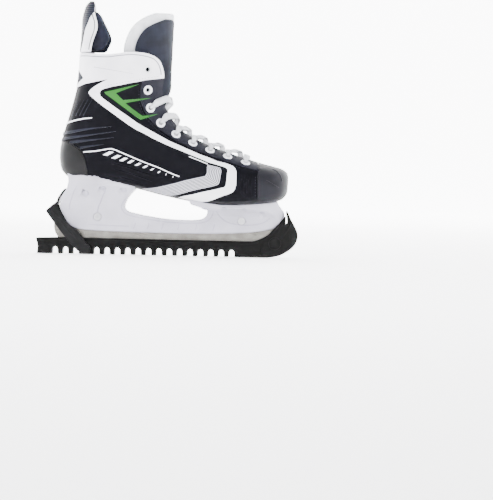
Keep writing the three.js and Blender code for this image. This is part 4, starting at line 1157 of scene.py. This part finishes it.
def makeHolder():
    tree = softened("holder_moulding", "holder", "holder", "skate", 1.1, 4)
    # the holder's embossed lines, raised a little and coloured in the darker shade look: painted shade along
    # each line
    marks = [([(-113, 85), (-117, 78), (-120, 70), (-122.5, 62), (-123, 55)], 1.6, 0.5),
             ([(-77, 80), (-80.5, 74), (-83, 68), (-87, 58), (-88, 50)], 1.6, 0.5),
             ([(-47, 76), (-56, 66), (-58, 58), (-52, 51), (-40, 47.5), (-20, 44.5), (0, 42), (30, 41),
               (46, 43), (54, 49), (57, 57)], 1.5, 0.45),
             ([(-100, 37), (-70, 36), (-48, 35.6)], 1.3, 0.4),
             ([(60, 57), (66, 49), (78, 42), (100, 40), (118, 43), (128, 50)], 1.5, 0.45)]
    marks += [([(x, 32.5), (x + 1.6, 36.5), (x + 2.4, 40.5)], 1.3, 0.4) for x in (-43, -26, -8, 12, 34, 56)]
    for n, (line, width, height) in enumerate(marks):
        ridge(f"holder_line_{n + 1}", tree, line, width, height, "shade", "skate")


makeHolder()
print("holder made")


def makeGuard():
    tree = softened("guard_moulding", "guard_body", "guard", "guard", 1.0, 3)
    rims = [([(-158, 18.6), (-100, 17.6), (0, 17.4), (100, 17.4), (112, 19), (120, 22.4), (128, 28.4),
              (134, 35), (141, 45), (147.6, 55)], 2.6, 0.6),
            ([(122, 8), (132, 14), (142, 24), (150, 36), (154, 46)], 2.2, 0.55),
            ([(118, 14), (126, 18), (134, 27), (141, 38), (148, 49)], 1.8, 0.4),
            ([(-156, 12.6), (-60, 12.2), (40, 12.2), (104, 12.2)], 1.4, 0.35)]
    for n, (line, width, height) in enumerate(rims):
        ridge(f"guard_line_{n + 1}", tree, line, width, height, "guard", "guard", steps=12)
    discs = [hitFrom(tree, 134, 18, side) for side in sideNames]
    face = [(0, -1.2), (7.4, -1.2), (7.8, 0.3), (7.2, 0.75), (6.4, 0.8), (6.0, 0.5), (0, 0.5)]
    turned("guard_discs", face, discs, "guard", "guard", 48)
    clipTree = softened("clip_moulding", "heel_clip", "clip", "clip", 0.9, 3)
    for n, line in enumerate(([(-107, 12), (-122, 27), (-136, 44), (-146, 55)],
                              [(-103, 20), (-117, 38), (-130, 55), (-140, 62)])):
        ridge(f"clip_line_{n + 1}", clipTree, line, 1.6, 0.45, "clip", "clip")


makeGuard()
print("guard made")

paints = {"footbed": "lining", "insole_board": "insole", "runner": "steel", "clip_pin": "clip",
          "front_runner_bolt": "zinc", "rear_runner_bolt": "zinc", "front_runner_nut": "zinc",
          "rear_runner_nut": "zinc"}
for name, look in paints.items():
    paint(name, look)


# a domed head on the holder's flange for each rivet of the frame
def makeRivets():
    tree = treeOf(bpy.data.objects["holder_moulding"])
    head = [(0, -1.5), (3.4, -1.5), (3.9, 0.1), (3.6, 0.55), (2.4, 0.95), (0, 1.1)]
    for name in [n for n in nodes if "rivet" in n]:
        low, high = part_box(name)
        outer = math.copysign(max(abs(low.y), abs(high.y)), low.y + high.y)
        place = tree.find_nearest(Vector(((low.x + high.x) / 2, outer, low.z)))[:2]
        piece = turned(f"{name}_head", head, [place], "shade", "skate")
        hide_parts(name)


makeRivets()


# stage: a pale floor that curves up behind, and soft lights all round
def makeStage():
    flat, bend, wallTop, under = 6, 2, 9, 0.6 * mm
    outline = [(radius, 0) for radius in (0, 0.5, 1, 2, 3, 4, 5, flat)]
    for step in range(1, 13):
        turn = step / 12 * math.pi / 2
        outline.append((flat + bend * math.sin(turn), bend * (1 - math.cos(turn))))
    outline.append((flat + bend, wallTop))
    bm = bmesh.new()
    profile = [bm.verts.new((radius, 0, height)) for radius, height in outline]
    edges = [bm.edges.new((a, b)) for a, b in zip(profile, profile[1:])]
    bmesh.ops.spin(bm, geom=profile + edges, cent=(0, 0, 0), axis=(0, 0, 1), angle=2 * math.pi,
                   steps=64, use_merge=True, use_duplicate=False)
    bmesh.ops.remove_doubles(bm, verts=bm.verts, dist=0.0001)
    faceAlong(bm, Vector((0, 0, 1)))
    bmesh.ops.translate(bm, verts=bm.verts, vec=(0, 0, -under))
    mesh = bpy.data.meshes.new("floor")
    bm.to_mesh(mesh)
    bm.free()
    for polygon in mesh.polygons:
        polygon.use_smooth = True
    floor = bpy.data.objects.new("floor", mesh)
    bpy.context.scene.collection.objects.link(floor)
    material, tree, shader, place = newMaterial("paperFloor", {"Roughness": 0.95, "Emission Strength": 5.2})
    behind = addNode(tree, "ShaderNodeSeparateXYZ", None, {"Vector": place}).outputs["Y"]
    share = addNode(tree, "ShaderNodeMapRange", {"From Min": -8.0, "From Max": 8.0},
                    {"Value": behind}).outputs[0]
    glow = ramp(tree, share, [(0.0, 0.01), (0.32, 0.02), (0.42, 0.36), (0.53, 0.42), (0.7, 1.0)])
    tree.links.new(glow, shader.inputs["Emission Color"])
    finish(tree, shader, ramp(tree, noise(tree, place, 400), [(0.3, "#fbfbfc"), (0.7, "#fdfdfe")]))
    mesh.materials.append(material)


def makeLight(name, spot, aim, size, power):
    data = bpy.data.lights.new(name, "AREA")
    data.shape = "RECTANGLE"
    data.size, data.size_y = size
    data.energy = power
    lamp = bpy.data.objects.new(name, data)
    bpy.context.scene.collection.objects.link(lamp)
    lamp.location = spot
    lamp.rotation_euler = (Vector(aim) - Vector(spot)).to_track_quat("-Z", "Y").to_euler()


def makeWorld(strength):
    world = bpy.data.worlds.new("studio")
    bpy.context.scene.world = world
    world.use_nodes = True
    world.node_tree.nodes["Background"].inputs["Color"].default_value = (1, 1, 1, 1)
    world.node_tree.nodes["Background"].inputs["Strength"].default_value = strength


makeStage()
makeLight("top", (0, -0.2, 2.2), (0, 0, 0), (2.4, 2.0), 42)
makeLight("key", (-1.1, -1.5, 1.3), (0, 0, 0.12), (0.9, 0.9), 20)
makeLight("fill", (1.6, -1.4, 0.8), (0, 0, 0.12), (0.8, 0.8), 6)
makeLight("rim", (0.2, 1.2, 1.3), (0, 0, 0.14), (1.4, 0.6), 10)
makeWorld(0.1)
